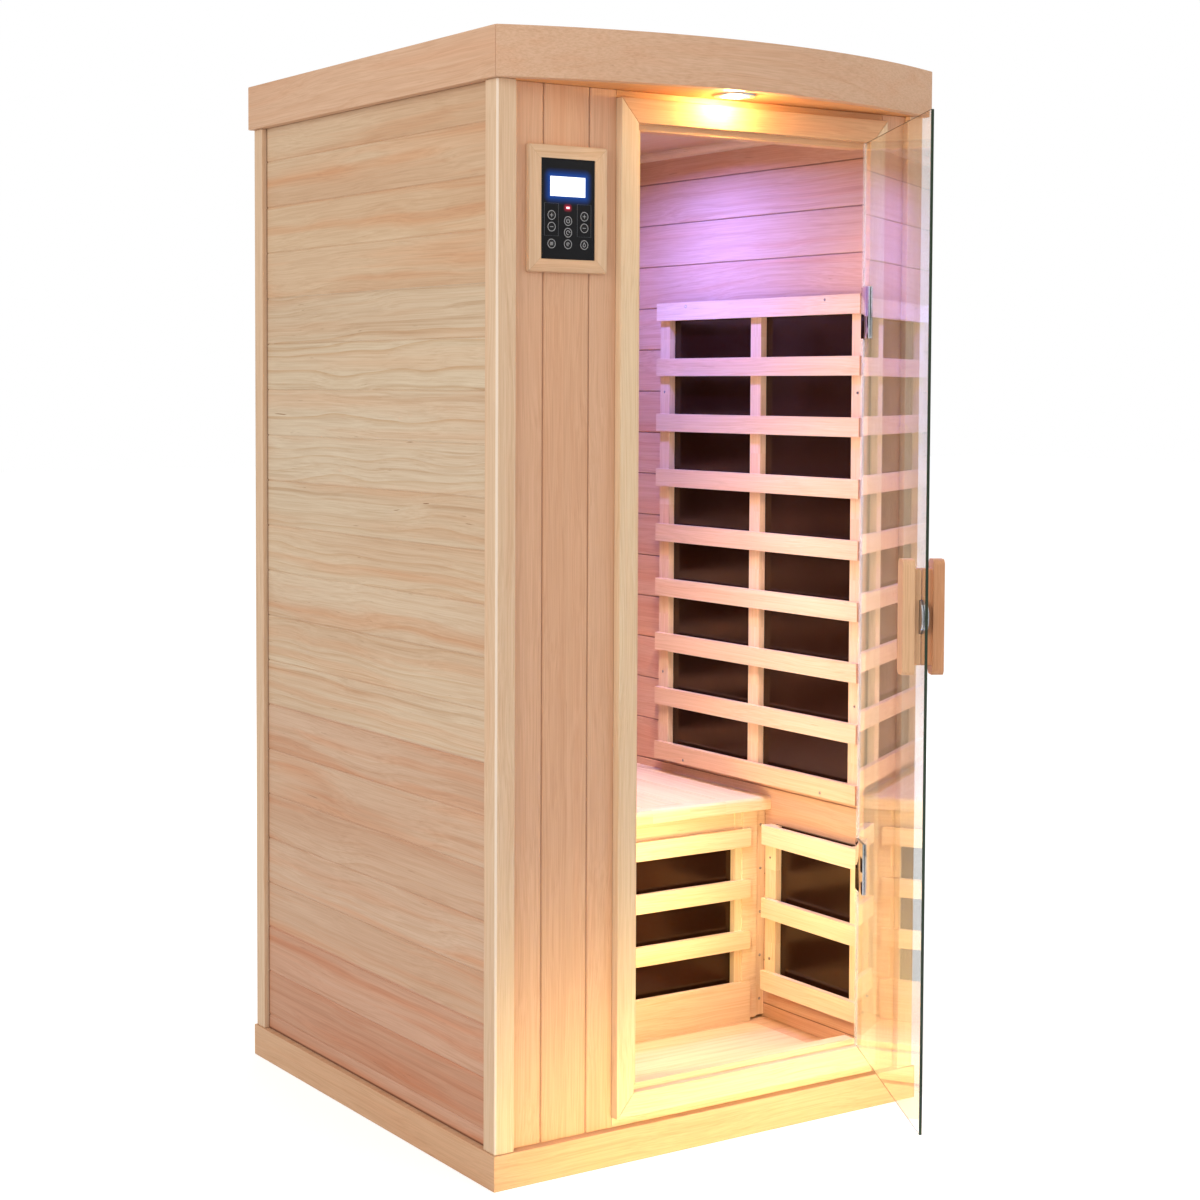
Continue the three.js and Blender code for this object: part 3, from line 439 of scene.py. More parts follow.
def wood(
    name, tone, grain, boards=None, seed=1, cross=None, seams_and_shade=None, lines=0.5, streaks=0.4, variety=0.3,
    planks=None, knots=0.0, seam_and_shade_depth=0.65, painted_highlight=None,
):
    """Hemlock with its grain along one axis.

    tone is a colour, or a function that gives one by place. boards is (axis, pitch, start), and cross a
    second grain axis with a function that marks where it holds. lines, streaks and knots say how strong
    those marks are, variety how much boards differ, and planks gives tone and grain by height.
    seams_and_shade marks dark joint lines where two members meet and painted shade in shadow gaps, as dark
    as seam_and_shade_depth says, and painted_highlight marks corners made paler by a painted highlight."""
    graph = Graph(name)
    axes = graph.split(graph.place())
    if callable(tone):
        tone = tone(graph, axes)
    along = laid_along(graph, axes, grain)
    number = board_number(graph, axes, boards, seed)
    if cross:
        along, number = turn_members(graph, axes, along, number, cross)
    if planks:
        tone, lines, streaks = sort_planks(graph, axes, planks)
    luck = graph.chance(number)
    shares = graph.split(luck)
    moved = graph.vector("ADD", along, graph.vector("MULTIPLY", luck, GRAIN_SHIFT))
    marks = grain_marks(graph, moved)
    colour = grain_colour(graph, tone, marks, lines, streaks)
    colour = graph.tint(colour, RED_BOARD, graph.span(shares["X"], 0.4, 1.0), variety)
    colour = graph.tint(colour, STRAW_BOARD, graph.span(shares["Y"], 0.4, 1.0), variety)
    if knots:
        colour = graph.tint(colour, KNOT_SHADE, pin_knots(graph, moved), knots)
    # A painted highlight: paler where eased corners catch the light
    if painted_highlight:
        colour = graph.mix(graph.math("MULTIPLY", painted_highlight(graph, axes), HIGHLIGHT_SHARE), colour, HIGHLIGHT_TONE)
    # Dark joint lines where members meet, and painted shade for gaps that lie in shade
    if seams_and_shade:
        colour = graph.mix(graph.math("MULTIPLY", seams_and_shade(graph, axes), seam_and_shade_depth), colour, SEAM_AND_SHADE_TONE)
    fibre = marks["fibre"]
    graph.set(
        Base_Color=colour,
        Roughness=graph.span(fibre, 0.3, 0.7, 0.62, 0.5),
        Specular_IOR_Level=0.3,
    )
    raised = graph.math("MULTIPLY", fibre, 0.7)
    sunk = graph.math("MULTIPLY", marks["line"], 0.4)
    graph.bump(graph.math("SUBTRACT", raised, sunk), 0.2, 0.3 * MM)
    return graph.material


def clear_glass():
    """Clear tempered glass; light from lamps passes straight through it."""
    graph = Graph("door_glass_clear")
    smear = graph.noise(graph.place(), 6.0, 4.0)
    graph.set(
        Base_Color=(0.965, 0.99, 0.978, 1.0),
        Roughness=graph.span(smear, 0.45, 0.8, 0.0, 0.02),
        Transmission_Weight=1.0,
        IOR=1.5,
    )
    return let_lamps_through(graph)


def clear_vinyl():
    """Soft clear vinyl, slightly milky."""
    graph = Graph("seal_vinyl")
    cloud = graph.noise(graph.place(), (40.0, 40.0, 6.0), 2.0)
    graph.set(
        Base_Color=graph.mix(cloud, srgb(226, 222, 220), srgb(244, 242, 240)),
        Roughness=graph.span(cloud, 0.3, 0.7, 0.12, 0.2),
        Specular_IOR_Level=0.2,
        Alpha=0.22,
    )
    return let_lamps_through(graph)


def let_lamps_through(graph):
    """The graph's material, made clear to the light of lamps."""
    clear = graph.add("ShaderNodeBsdfTransparent")
    path = graph.add("ShaderNodeLightPath")
    choice = graph.add("ShaderNodeMixShader")
    graph.put(choice.inputs[0], path.outputs["Is Shadow Ray"])
    graph.put(choice.inputs[1], graph.shader.outputs[0])
    graph.put(choice.inputs[2], clear.outputs[0])
    graph.put(graph.output.inputs["Surface"], choice.outputs[0])
    return graph.material


def glass_edge():
    """The dark green of a polished glass edge."""
    graph = Graph("door_glass_edge")
    tint = graph.mix(graph.noise(graph.place(), (30.0, 30.0, 3.0)), srgb(24, 36, 24), srgb(46, 62, 40))
    graph.set(Base_Color=tint, Roughness=0.2, IOR=1.5)
    return graph.material


def metal(name, tone, roughness):
    """Brushed metal."""
    graph = Graph(name)
    brushed = graph.noise(graph.place(), BRUSH_CELLS, 2.0)
    dark = tuple(value * 0.86 for value in tone[:3]) + (1.0,)
    graph.set(
        Base_Color=graph.mix(brushed, dark, tone),
        Metallic=1.0,
        Roughness=graph.span(brushed, 0.3, 0.7, roughness * 0.8, roughness * 1.3),
    )
    graph.bump(brushed, 0.05, 0.05 * MM)
    return graph.material


def heater_film():
    """Carbon heater laminate: near black, with a faint fleck and a smooth face."""
    graph = Graph("heater_laminate")
    place = graph.place()
    fleck = graph.noise(place, 900.0, 2.0)
    cloud = graph.noise(place, 9.0, 3.0)
    tone = graph.mix(cloud, srgb(40, 17, 8), srgb(25, 11, 7))
    tone = graph.mix(graph.span(fleck, 0.62, 0.8, 0.0, 0.35), tone, srgb(66, 34, 20))
    graph.set(
        Base_Color=tone,
        Roughness=graph.span(cloud, 0.3, 0.7, 0.14, 0.24),
        Specular_IOR_Level=0.5,
        Specular_Tint=(1.0, 0.74, 0.5, 1.0),
    )
    graph.bump(fleck, 0.04, 0.05 * MM)
    return graph.material


def plastic(name, tone, roughness, glow=None, gloss=0.5):
    """Moulded plastic with a fine grain. glow is a function that returns an emission colour."""
    graph = Graph(name)
    place = graph.place()
    grain = graph.noise(place, 1400.0, 2.0)
    lift = tuple(min(1.0, value * 1.5 + 0.002) for value in tone[:3]) + (1.0,)
    graph.set(
        Base_Color=graph.mix(graph.span(grain, 0.4, 0.8, 0.0, 0.6), tone, lift),
        Roughness=graph.span(grain, 0.3, 0.7, roughness * 0.9, roughness * 1.15),
        Specular_IOR_Level=gloss,
    )
    if glow:
        graph.set(Emission_Color=glow(graph, graph.split(place)), Emission_Strength=1.0)
    graph.bump(grain, 0.05, 0.05 * MM)
    return graph.material


def lit(name, tone, strength):
    """A frosted lens or window that glows."""
    graph = Graph(name)
    frost = graph.noise(graph.place(), 500.0, 2.0)
    soft = tuple(value * 0.9 for value in tone[:3]) + (1.0,)
    graph.set(
        Base_Color=graph.mix(frost, soft, tone),
        Emission_Color=graph.mix(frost, soft, tone),
        Emission_Strength=strength,
        Roughness=0.35,
    )
    return graph.material


# Marks that tell the members of one piece of the model apart, and where painted shade and a painted highlight
# go

def within(axis, edge, below=True):
    """Marks the side of a level along an axis."""
    operation = "LESS_THAN" if below else "GREATER_THAN"
    return lambda graph, axes: graph.math(operation, axes[axis], edge)


def both(first, second):
    """Marks what two marks share."""
    return lambda graph, axes: graph.math("MULTIPLY", first(graph, axes), second(graph, axes))


def side_faces(graph, axes):
    """Marks faces that look along X."""
    normal = graph.split(graph.normal())
    return graph.math("GREATER_THAN", graph.math("ABSOLUTE", normal["X"]), SIDE_FACING)


def left_wall_gap_shade(graph, axes):
    """Marks where the left wall is darkened by painted shade: its shadow gaps along the rear post and above
    the floor panel.
    """
    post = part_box("rear_left_post")[0].y
    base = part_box("left_wall_panel")[0].z
    rear = graph.span(axes["Y"], post - SHADOW_GAP, post - SHADOW_GAP / 3)
    foot = graph.span(axes["Z"], base + SHADOW_GAP / 3, base + SHADOW_GAP * 2 / 3, 1.0, 0.0)
    return graph.math("MAXIMUM", rear, foot)


def right_wall_tone(graph, axes):
    """The right wall is redder inside than outside."""
    low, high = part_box("right_wall_panel")
    outside = graph.math("GREATER_THAN", axes["X"], (low.x + high.x) / 2)
    return graph.mix(outside, INNER_TONE, SIDE_TONE)


def joint_lines(axis, pitch, start):
    """Marks the thin lines where boards meet."""
    def mark(graph, axes):
        count = graph.math("DIVIDE", graph.math("SUBTRACT", axes[axis], start), pitch)
        off = graph.math("ABSOLUTE", graph.math("SUBTRACT", graph.math("FRACT", count), 0.5))
        return graph.math("GREATER_THAN", off, 0.5 - JOINT_LINE / pitch)
    return mark


def post_corners(graph, axes):
    """Marks the eased corners of a post, which look as much along X as along Y; a painted highlight makes
    them paler.
    """
    normal = graph.split(graph.normal())
    along = [graph.math("ABSOLUTE", normal[axis]) for axis in "XY"]
    return graph.math("MULTIPLY", *(graph.math("GREATER_THAN", share, CORNER_FACING) for share in along))


def mitre_of(node):
    """For a mitred frame in X and Z: marks of its upright members and of the mitre lines."""
    low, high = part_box(node)
    centre, half = (low + high) / 2, (high - low) / 2

    def lead(graph, axes):
        across = graph.math("ABSOLUTE", graph.math("SUBTRACT", axes["X"], centre.x))
        upward = graph.math("ABSOLUTE", graph.math("SUBTRACT", axes["Z"], centre.z))
        inset = graph.math("SUBTRACT", across, half.x)
        return graph.math("SUBTRACT", inset, graph.math("SUBTRACT", upward, half.z))

    def uprights(graph, axes):
        return graph.math("GREATER_THAN", lead(graph, axes), 0.0)

    def lines(graph, axes):
        return graph.math("LESS_THAN", graph.math("ABSOLUTE", lead(graph, axes)), MITRE_LINE)

    return uprights, lines


def finish_boards():
    """Panels and other pieces made from rows of boards."""
    planks = ("Z", PLANK_PITCH, PLANK_START)
    fronts = ("X", FRONT_BOARD_PITCH, FRONT_BOARD_START)
    seats = ("X", SEAT_BOARD_PITCH, SEAT_BOARD_START)
    nosing = within("Y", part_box("bench_seat")[0].y + NOSING_DEPTH)
    uprights, mitres = mitre_of("control_bezel")
    made = {
        "floor_panel": wood("floor_panel_wood", BASE_TONE, "X", seed=3, cross=("Y", side_faces)),
        "floor_mat": wood("floor_mat_wood", PALE_TONE, "X", ("Y", MAT_BOARD_PITCH, MAT_BOARD_START), seed=4),
        # The left wall's shadow gaps along the rear post and above the floor panel are painted shade
        "left_wall_panel": wood(
            "left_wall_wood", SIDE_TONE, "Y", planks, seed=5, variety=0.12, planks=LEFT_WALL_PLANKS,
            knots=1.0, seams_and_shade=left_wall_gap_shade, seam_and_shade_depth=0.8),
        "right_wall_panel": wood(
            "right_wall_wood", right_wall_tone, "Y", planks, seed=6, seams_and_shade=joint_lines(*planks)),
        "rear_wall_panel": wood("rear_wall_wood", SIDE_TONE, "X", planks, seed=7),
        "ceiling_panel": wood("ceiling_wood", SIDE_TONE, "Y", ("X", PLANK_PITCH, 0.0), seed=10),
        "visor_soffit": wood("soffit_wood", SOFFIT_TONE, "X", seed=11),
        "roof_cover": wood("roof_cover_wood", PLY_TONE, "X", seed=12),
        "bench_seat": wood("bench_seat_wood", PALE_TONE, "Y", seats, seed=13, cross=("X", nosing)),
        "bench_ledger": wood("bench_ledger_wood", SIDE_TONE, "X", seed=14),
        "control_bezel": wood(
            "control_bezel_wood", FRAME_TONE, "X", seed=15, cross=("Z", uprights), seams_and_shade=mitres,
            seam_and_shade_depth=0.2),
    }
    for seed, side in enumerate(("left", "right"), 16):
        made[f"front_{side}_panel"] = wood(
            f"front_{side}_wood", FRONT_TONE, "Z", fronts, seed=seed, lines=0.2, streaks=0.25, variety=0.2,
            seams_and_shade=joint_lines(*fronts), seam_and_shade_depth=0.32)
    return made


def finish_sticks():
    """Posts, frame, fascia and pulls: members cut from one length each."""
    sticks = {"inside_pull": (INSIDE_PULL_TONE, "Z"), "outside_pull": (OUTSIDE_PULL_TONE, "Z")}
    for corner in ("front_left", "front_right", "rear_left", "rear_right"):
        sticks[corner + "_post"] = (FRAME_TONE, "Z")
    for side in ("left", "right"):
        sticks[f"door_frame_{side}"] = (DOOR_FRAME_TONE, "Z")
    sticks["door_frame_head"] = (HEAD_TONE, "X")
    # The sill takes the paler tone as a painted highlight, for the strong light on its top
    sticks["door_frame_sill"] = (PALE_TONE, "X")
    for name, grain in (("visor", "X"), ("left", "Y"), ("right", "Y"), ("rear", "X")):
        sticks[name + "_fascia"] = (CAP_TONE, grain)
    # Posts get a painted highlight on their eased corners
    return {
        node: wood(
            node + "_wood", tone, grain, seed=seed, lines=0.35, streaks=0.3, variety=0.12,
            painted_highlight=post_corners if node.endswith("_post") else None)
        for seed, (node, (tone, grain)) in enumerate(sticks.items(), 20)
    }


GUARDS = {
    # name: grain of the slats, axis out of the wall, the way the slats face along it, pitch of the slats,
    # and how many pitches from each end the screws in the outer stiles sit
    "right_upper_guard": ("Y", "X", -1, UPPER_SLAT_PITCH, 1.6),
    "right_lower_guard": ("Y", "X", -1, LOWER_SLAT_PITCH, 0.44),
    "left_upper_guard": ("Y", "X", 1, UPPER_SLAT_PITCH, 1.6),
    "left_lower_guard": ("Y", "X", 1, LOWER_SLAT_PITCH, 0.44),
    "rear_guard": ("X", "Y", -1, UPPER_SLAT_PITCH, 1.6),
    "bench_front_guard": ("X", "Y", -1, BENCH_SLAT_PITCH, 1.25),
}
# The faces of these go round openings, so they aren't joined into larger ones
WALL_GUARDS = tuple(node for node in GUARDS if node != "bench_front_guard")


def slat_face(node):
    """Axis out of the wall, and the levels along it of the slats' face and of the stiles' face."""
    _, out, way, *_ = GUARDS[node]
    axis = "XYZ".index(out)
    low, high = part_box(node)
    face = low[axis] if way < 0 else high[axis]
    return axis, face, face - way * (SLAT_THICKNESS - SLAT_LET_IN)


def finish_guards():
    """Slats have their grain along the wall, and the stiles behind them upwards."""
    made = {}
    for seed, (node, (grain, out, way, pitch, _)) in enumerate(GUARDS.items(), 60):
        low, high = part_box(node)
        stile_face = slat_face(node)[2]
        behind = within(out, stile_face + way * SLAT_LET_IN / 2, below=way > 0)
        if node == "bench_front_guard":
            behind = both(behind, within("Z", high.z - BENCH_RAIL_REVEAL))
        tone = SLAT_TONE if pitch == UPPER_SLAT_PITCH else PALE_TONE
        made[node] = wood(
            node + "_wood", tone, grain, ("Z", pitch, low.z - pitch / 3), seed=seed,
            cross=("Z", behind), lines=0.35, streaks=0.3)
    return made


def dress(node, material, easing, smooth=None):
    """Gives a node its finish, joins its triangles and eases its sharp edges. smooth is the angle in degrees
    up to which its faces are shaded as one."""
    piece = NODES[node]
    piece.data.materials.clear()
    piece.data.materials.append(material)
    weld = piece.modifiers.new("welded", "WELD")
    weld.merge_threshold = WELD_REACH
    if easing and node not in WALL_GUARDS:
        flat = piece.modifiers.new("flat_faces", "DECIMATE")
        flat.decimate_type = "DISSOLVE"
        flat.angle_limit = FLAT_ANGLE
    if easing:
        bevel = piece.modifiers.new("eased_edges", "BEVEL")
        bevel.width = easing
        bevel.segments = EASING_SEGMENTS
        bevel.limit_method = "ANGLE"
        bevel.angle_limit = SHARP_ANGLE
        bevel.use_clamp_overlap = node != UNCLAMPED
    if smooth:
        piece.data.shade_smooth()
        split = piece.modifiers.new("sharp_edges", "EDGE_SPLIT")
        split.split_angle = math.radians(smooth)


def finish_wood():
    """Dresses every wooden node."""
    easings = {"bench_seat": SEAT_EASING, **dict.fromkeys(GUARDS, GUARD_EASING)}
    for finishes in (finish_boards(), finish_sticks(), finish_guards()):
        for node, material in finishes.items():
            dress(node, material, easings.get(node, EDGE_EASING))


def finish_rest():
    """Metal, heaters, lamps and the control panel."""
    chrome = metal("hinge_chrome", (0.62, 0.63, 0.65, 1.0), 0.07)
    satin = metal("satin_steel", (0.60, 0.61, 0.63, 1.0), 0.32)
    film = heater_film()
    for node in NODES:
        if node.endswith("_heater"):
            dress(node, film, easing=0)
        elif "_hinge_" in node:
            dress(node, chrome, easing=HINGE_EASING, smooth=40)
        elif node.endswith("_disc"):
            dress(node, satin, easing=METAL_EASING)
        elif node.startswith("key_"):
            dress(node, plastic(node + "_cap", srgb(20, 20, 22), 0.35, gloss=0.15), easing=KEY_EASING)
    dress("downlight", satin, easing=0, smooth=30)
    dress("power_supply", metal("supply_steel", (0.55, 0.56, 0.58, 1.0), 0.4), easing=METAL_EASING)
    dress("colour_lamp", lit("colour_lamp_lens", (*LAMP_VIOLET, 1.0), 3.0), easing=0, smooth=30)
    dress("display_window", lit("display_lit", (0.92, 0.97, 1.0, 1.0), 1.15), easing=0)
    keypad = plastic("keypad_black", srgb(13, 13, 16), 0.22, keypad_glow, gloss=0.12)
    dress("control_keypad", keypad, easing=0)


def away_from(graph, axes, low, high):
    """Distance in X and Z from a rectangle."""
    centre, half = (low + high) / 2, (high - low) / 2
    squares = []
    for axis, i in (("X", 0), ("Z", 2)):
        off = graph.math("ABSOLUTE", graph.math("SUBTRACT", axes[axis], centre[i]))
        beyond = graph.math("MAXIMUM", graph.math("SUBTRACT", off, half[i]), 0.0)
        squares.append(graph.math("MULTIPLY", beyond, beyond))
    return graph.math("SQRT", graph.math("ADD", *squares))


def keypad_glow(graph, axes):
    """The blue light that spills round the lit display and the red round the indicator."""
    dark = (0.0, 0.0, 0.0, 1.0)
    near_display = graph.span(away_from(graph, axes, *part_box("display_window")), 0.0, DISPLAY_SPILL, 1.0, 0.0)
    near_led = graph.span(away_from(graph, axes, *led_box()), 0.0, LED_SPILL, 1.0, 0.0)
    blue = graph.mix(graph.math("POWER", near_display, 1.6), dark, (0.0, 0.06, 0.36, 1.0))
    red = graph.mix(graph.math("POWER", near_led, 1.5), dark, (0.45, 0.01, 0.04, 1.0))
    return graph.mix(1.0, blue, red, "ADD")


# The door turns about its hinge; its pieces are drawn closed and then turned to where it rests

HINGE = next(joint for joint in frame["joints"] if joint["name"] == "door_hinge")
HINGE_POINT = Vector(HINGE["pos_m"])
DOOR_REST = math.radians(-HINGE["range_deg"][0])
DOOR_TURN = (
    Matrix.Translation(HINGE_POINT) @ Matrix.Rotation(DOOR_REST, 4, "Z") @ Matrix.Translation(-HINGE_POINT)
)


def closed_box(node):
    """Lowest and highest corner of a door node with the door closed."""
    back = DOOR_TURN.inverted()
    points = [back @ vertex.co for vertex in NODES[node].data.vertices]
    low = Vector([min(point[i] for point in points) for i in range(3)])
    high = Vector([max(point[i] for point in points) for i in range(3)])
    return low, high


def piece_from(name, shape, materials, body, turned=False, smooth=None):
    """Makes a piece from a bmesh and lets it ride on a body."""
    mesh = bpy.data.meshes.new(name)
    bmesh.ops.recalc_face_normals(shape, faces=shape.faces)
    shape.to_mesh(mesh)
    shape.free()
    for material in materials:
        mesh.materials.append(material)
    piece = bpy.data.objects.new(name, mesh)
    bpy.context.scene.collection.objects.link(piece)
    if turned:
        piece.matrix_world = DOOR_TURN
    if smooth:
        mesh.shade_smooth()
        mesh.set_sharp_from_angle(angle=math.radians(smooth))
    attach(piece, body)
    return piece


def add_box(shape, low, high):
    """A box between two corners, added to a bmesh."""
    centre, size = (Vector(low) + Vector(high)) / 2, Vector(high) - Vector(low)
    place = Matrix.Translation(centre) @ Matrix.Diagonal((*size, 1.0))
    bmesh.ops.create_cube(shape, size=1.0, matrix=place)


def add_rings(shape, rings, closed=False):
    """Skin through rings of points; open ends are capped."""
    made = [[shape.verts.new(point) for point in ring] for ring in rings]
    pairs = list(zip(made, made[1:]))
    if closed:
        pairs.append((made[-1], made[0]))
    else:
        shape.faces.new(made[0])
        shape.faces.new(list(reversed(made[-1])))
    for first, second in pairs:
        for i in range(len(first)):
            j = (i + 1) % len(first)
            shape.faces.new((first[i], first[j], second[j], second[i]))


def add_turned(shape, profile, place, way, segments):
    """A turned form on an axis: profile is (radius, height) from the rim to the middle of the face."""
    turn = Vector((0, 0, 1)).rotation_difference(Vector(way)).to_matrix().to_4x4()
    stand = Matrix.Translation(place) @ turn
    rings = []
    for radius, height in profile:
        angles = [2 * math.pi * i / segments for i in range(segments)]
        rings.append([stand @ Vector((radius * math.cos(a), radius * math.sin(a), height)) for a in angles])
    add_rings(shape, rings)


def arc(radius, start, end, count, x=0.0, z=0.0):
    """Points of an arc in X and Z, with angles in degrees."""
    angles = [math.radians(start + (end - start) * i / (count - 1)) for i in range(count)]
    return [(x + radius * math.cos(angle), z + radius * math.sin(angle)) for angle in angles]


def add_stroke(shape, points, face, width=PRINT_WIDTH, closed=False):
    """A printed line through points in X and Z, on a face that looks towards -Y."""
    path = [Vector(point) for point in points]
    count = len(path)
    rings = []
    for i, point in enumerate(path):
        before = path[i - 1] if closed or i > 0 else point
        after = path[(i + 1) % count] if closed or i + 1 < count else point
        way = (after - before).normalized()
        side = Vector((-way.y, way.x)) * width / 2
        left, right = point + side, point - side
        front = face - CONTACT - PRINT_DEPTH
        back = face - CONTACT
        rings.append([
            (left.x, front, left.y), (right.x, front, right.y),
            (right.x, back, right.y), (left.x, back, left.y),
        ])
    add_rings(shape, rings, closed)


def make_glass():
    """The door glass with polished, bevelled edges."""
    low, high = closed_box("door_glass")
    shape = bmesh.new()
    add_box(shape, low, high)
    bmesh.ops.bevel(
        shape, geom=shape.edges[:], offset=GLASS_BEVEL, segments=2, profile=0.5, affect="EDGES")
    for face in shape.faces:
        face.material_index = 0 if abs(face.normal.y) > 0.99 else 1
    glass = piece_from(
        "door_pane", shape, [clear_glass(), glass_edge()], "door", turned=True)
    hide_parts("door_glass")


def make_seal():
    """A clear seal gripping the hinge edge of the glass, cut out round the hinges."""
    low, high = closed_box("door_glass")
    front, back = low.y - CONTACT, high.y + CONTACT
    edge = high.x + CONTACT
    grip = high.x - SEAL_GRIP
    middle = (front + back) / 2
    bulb = [(edge + x, middle + y) for x, y in arc(SEAL_BULB, -SEAL_BULB_ANGLE, SEAL_BULB_ANGLE, 9)]
    bulb = [(x - SEAL_BULB * SEAL_BULB_SINK + SEAL_WALL, y) for x, y in bulb]
    section = [
        (grip, front), (grip, front - SEAL_WALL), *bulb, (grip, back + SEAL_WALL), (grip, back),
        (edge, back), (edge, front),
    ]
    stops = [low.z]
    for hinge in ("lower_hinge_clamp", "upper_hinge_clamp"):
        clamp_low, clamp_high = closed_box(hinge)
        stops += [clamp_low.z - SEAL_GAP, clamp_high.z + SEAL_GAP]
    stops.append(high.z)
    shape = bmesh.new()
    for start, end in zip(stops[::2], stops[1::2]):
        add_rings(shape, [[(x, y, z) for x, y in section] for z in (start, end)])
    piece_from("door_seal", shape, [clear_vinyl()], "door", turned=True, smooth=35)


def make_ceiling_bead():
    """A quarter-round bead where the walls meet the ceiling."""
    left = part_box("left_wall_panel")[1].x + CONTACT
    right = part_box("right_wall_panel")[0].x - CONTACT
    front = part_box("front_left_panel")[1].y + CONTACT
    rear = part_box("rear_wall_panel")[0].y - CONTACT
    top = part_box("ceiling_panel")[0].z - CONTACT
    section = [(0.0, 0.0), *arc(BEAD_RADIUS, 0, -90, 7)]
    corners = ((left, front, 1, 1), (right, front, -1, 1), (right, rear, -1, -1), (left, rear, 1, -1))
    rings = [
        [(x + side_x * out, y + side_y * out, top + drop) for out, drop in section]
        for x, y, side_x, side_y in corners
    ]
    shape = bmesh.new()
    add_rings(shape, rings, closed=True)
    bead = wood("ceiling_bead_wood", FRAME_TONE, "Y", seed=80, lines=0.3, streaks=0.3, variety=0.0)
    piece_from("ceiling_bead", shape, [bead], "cabin", smooth=35)


def make_downlight_lens():
    """The frosted lens in the dish of the downlight."""
    low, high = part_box("downlight")
    centre = (low + high) / 2
    shape = bmesh.new()
    profile = [(radius * MM, height * MM) for radius, height in LENS_PROFILE]
    place = (centre.x, centre.y, low.z + LENS_RISE)
    add_turned(shape, profile, place, (0, 0, 1), LENS_SEGMENTS)
    glow = lit("downlight_glow", (1.0, 0.9, 0.72, 1.0), 6.0)
    piece_from("downlight_lens", shape, [glow], "cabin", smooth=40)


def screw_places(node):
    """Axis out of the wall, way out of it, and where the screws of a guard sit."""
    low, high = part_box(node)
    axis, slat, stile = slat_face(node)
    run = 1 - axis  # the guard runs along the other level axis
    _, _, way, pitch, rise = GUARDS[node]
    bench = node == "bench_front_guard"
    from_end = BENCH_SCREW_FROM_END if bench else SCREW_FROM_END
    spots = []

    def drive(level, along, heights):
        for z in heights:
            place = [0.0, 0.0, z]
            place[axis], place[run] = level, along
            spots.append(Vector(place))

    for along in (low[run] + from_end, high[run] - from_end):
        drive(stile, along, (low.z + rise * pitch, high.z - rise * pitch))
    middle = (low + high) / 2
    if pitch == UPPER_SLAT_PITCH:
        for along in (middle[run] - SCREW_FROM_MIDDLE, middle[run] + SCREW_FROM_MIDDLE):
            drive(slat, along, (low.z + SCREW_FROM_SLAT_EDGE, high.z - SCREW_FROM_SLAT_EDGE))
    if bench:
        steps = range(-(CLEAT_SCREWS // 2), CLEAT_SCREWS // 2 + 1)
        for along in (low[run] + BENCH_CLEAT_WIDTH / 2, high[run] - BENCH_CLEAT_WIDTH / 2):
            drive(high.y - BENCH_CLEAT_THICKNESS, along, [middle.z + i * CLEAT_SCREW_PITCH for i in steps])
    return axis, way, spots


def make_screws():
    """Countersunk screws where the guards and the bench front are fastened."""
    profile = [(SCREW_RADIUS * share, height * MM) for share, height in SCREW_PROFILE]
    shape = bmesh.new()
    for node in GUARDS:
        axis, way, spots = screw_places(node)
        out = Vector((0, 0, 0))
        out[axis] = way
        for spot in spots:
            add_turned(shape, profile, spot + out * CONTACT, out, SCREW_SEGMENTS)
    steel = metal("screw_steel", (0.42, 0.40, 0.38, 1.0), 0.3)
    piece_from("guard_screws", shape, [steel], "cabin", smooth=30)


# Control panel

def led_box():
    """Corners of the indicator under the display."""
    low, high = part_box("control_keypad")
    centre = (low + high) / 2
    middle = Vector((centre.x, low.y, centre.z + LED_RISE))
    return middle - LED_HALF, middle + LED_HALF


PLUS = [[(-3.2, 0), (3.2, 0)], [(0, -3.2), (0, 3.2)]]
MINUS = [[(-3.2, 0), (3.2, 0)]]
BARS = [[(-3, 2), (3, 2)], [(-3, 0), (3, 0)], [(-3, -2), (3, -2)]]
POWER = [arc(3.2, 125, 415, 15), [(0, 0.4), (0, 4)]]
TURN = [arc(3.2, 20, 290, 13), [(1.0, 1.0), (3.0, 1.1), (4.3, -0.4)]]
SPOT = [arc(2.6, 0, 300, 11), arc(0.8, 0, 300, 6)]
DROP = [[(0, 4), (1.6, 1.2), *arc(2.4, 30, -210, 11, 0, -1), (-1.6, 1.2), (0, 4)]]
KEY_SYMBOLS = {
    "key_left_1": PLUS, "key_left_2": MINUS, "key_left_3": BARS,
    "key_middle_1": POWER, "key_middle_2": TURN, "key_middle_3": SPOT,
    "key_right_1": PLUS, "key_right_2": MINUS, "key_right_3": DROP,
}


def make_key_prints():
    """White rings and plain symbols on the keys."""
    white = plastic("print_white", srgb(178, 178, 180), 0.5)
    for key, symbol in KEY_SYMBOLS.items():
        low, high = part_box(key)
        centre = (low + high) / 2
        shape = bmesh.new()
        last = 360 * (KEY_RING_POINTS - 1) / KEY_RING_POINTS
        ring = arc(KEY_RING_RADIUS, 0, last, KEY_RING_POINTS, centre.x, centre.z)
        add_stroke(shape, ring, low.y, closed=True)
        for line in symbol:
            points = [(centre.x + x * MM, centre.z + z * MM) for x, z in line]
            add_stroke(shape, points, low.y)
        piece_from(key + "_print", shape, [white], key + "_body")


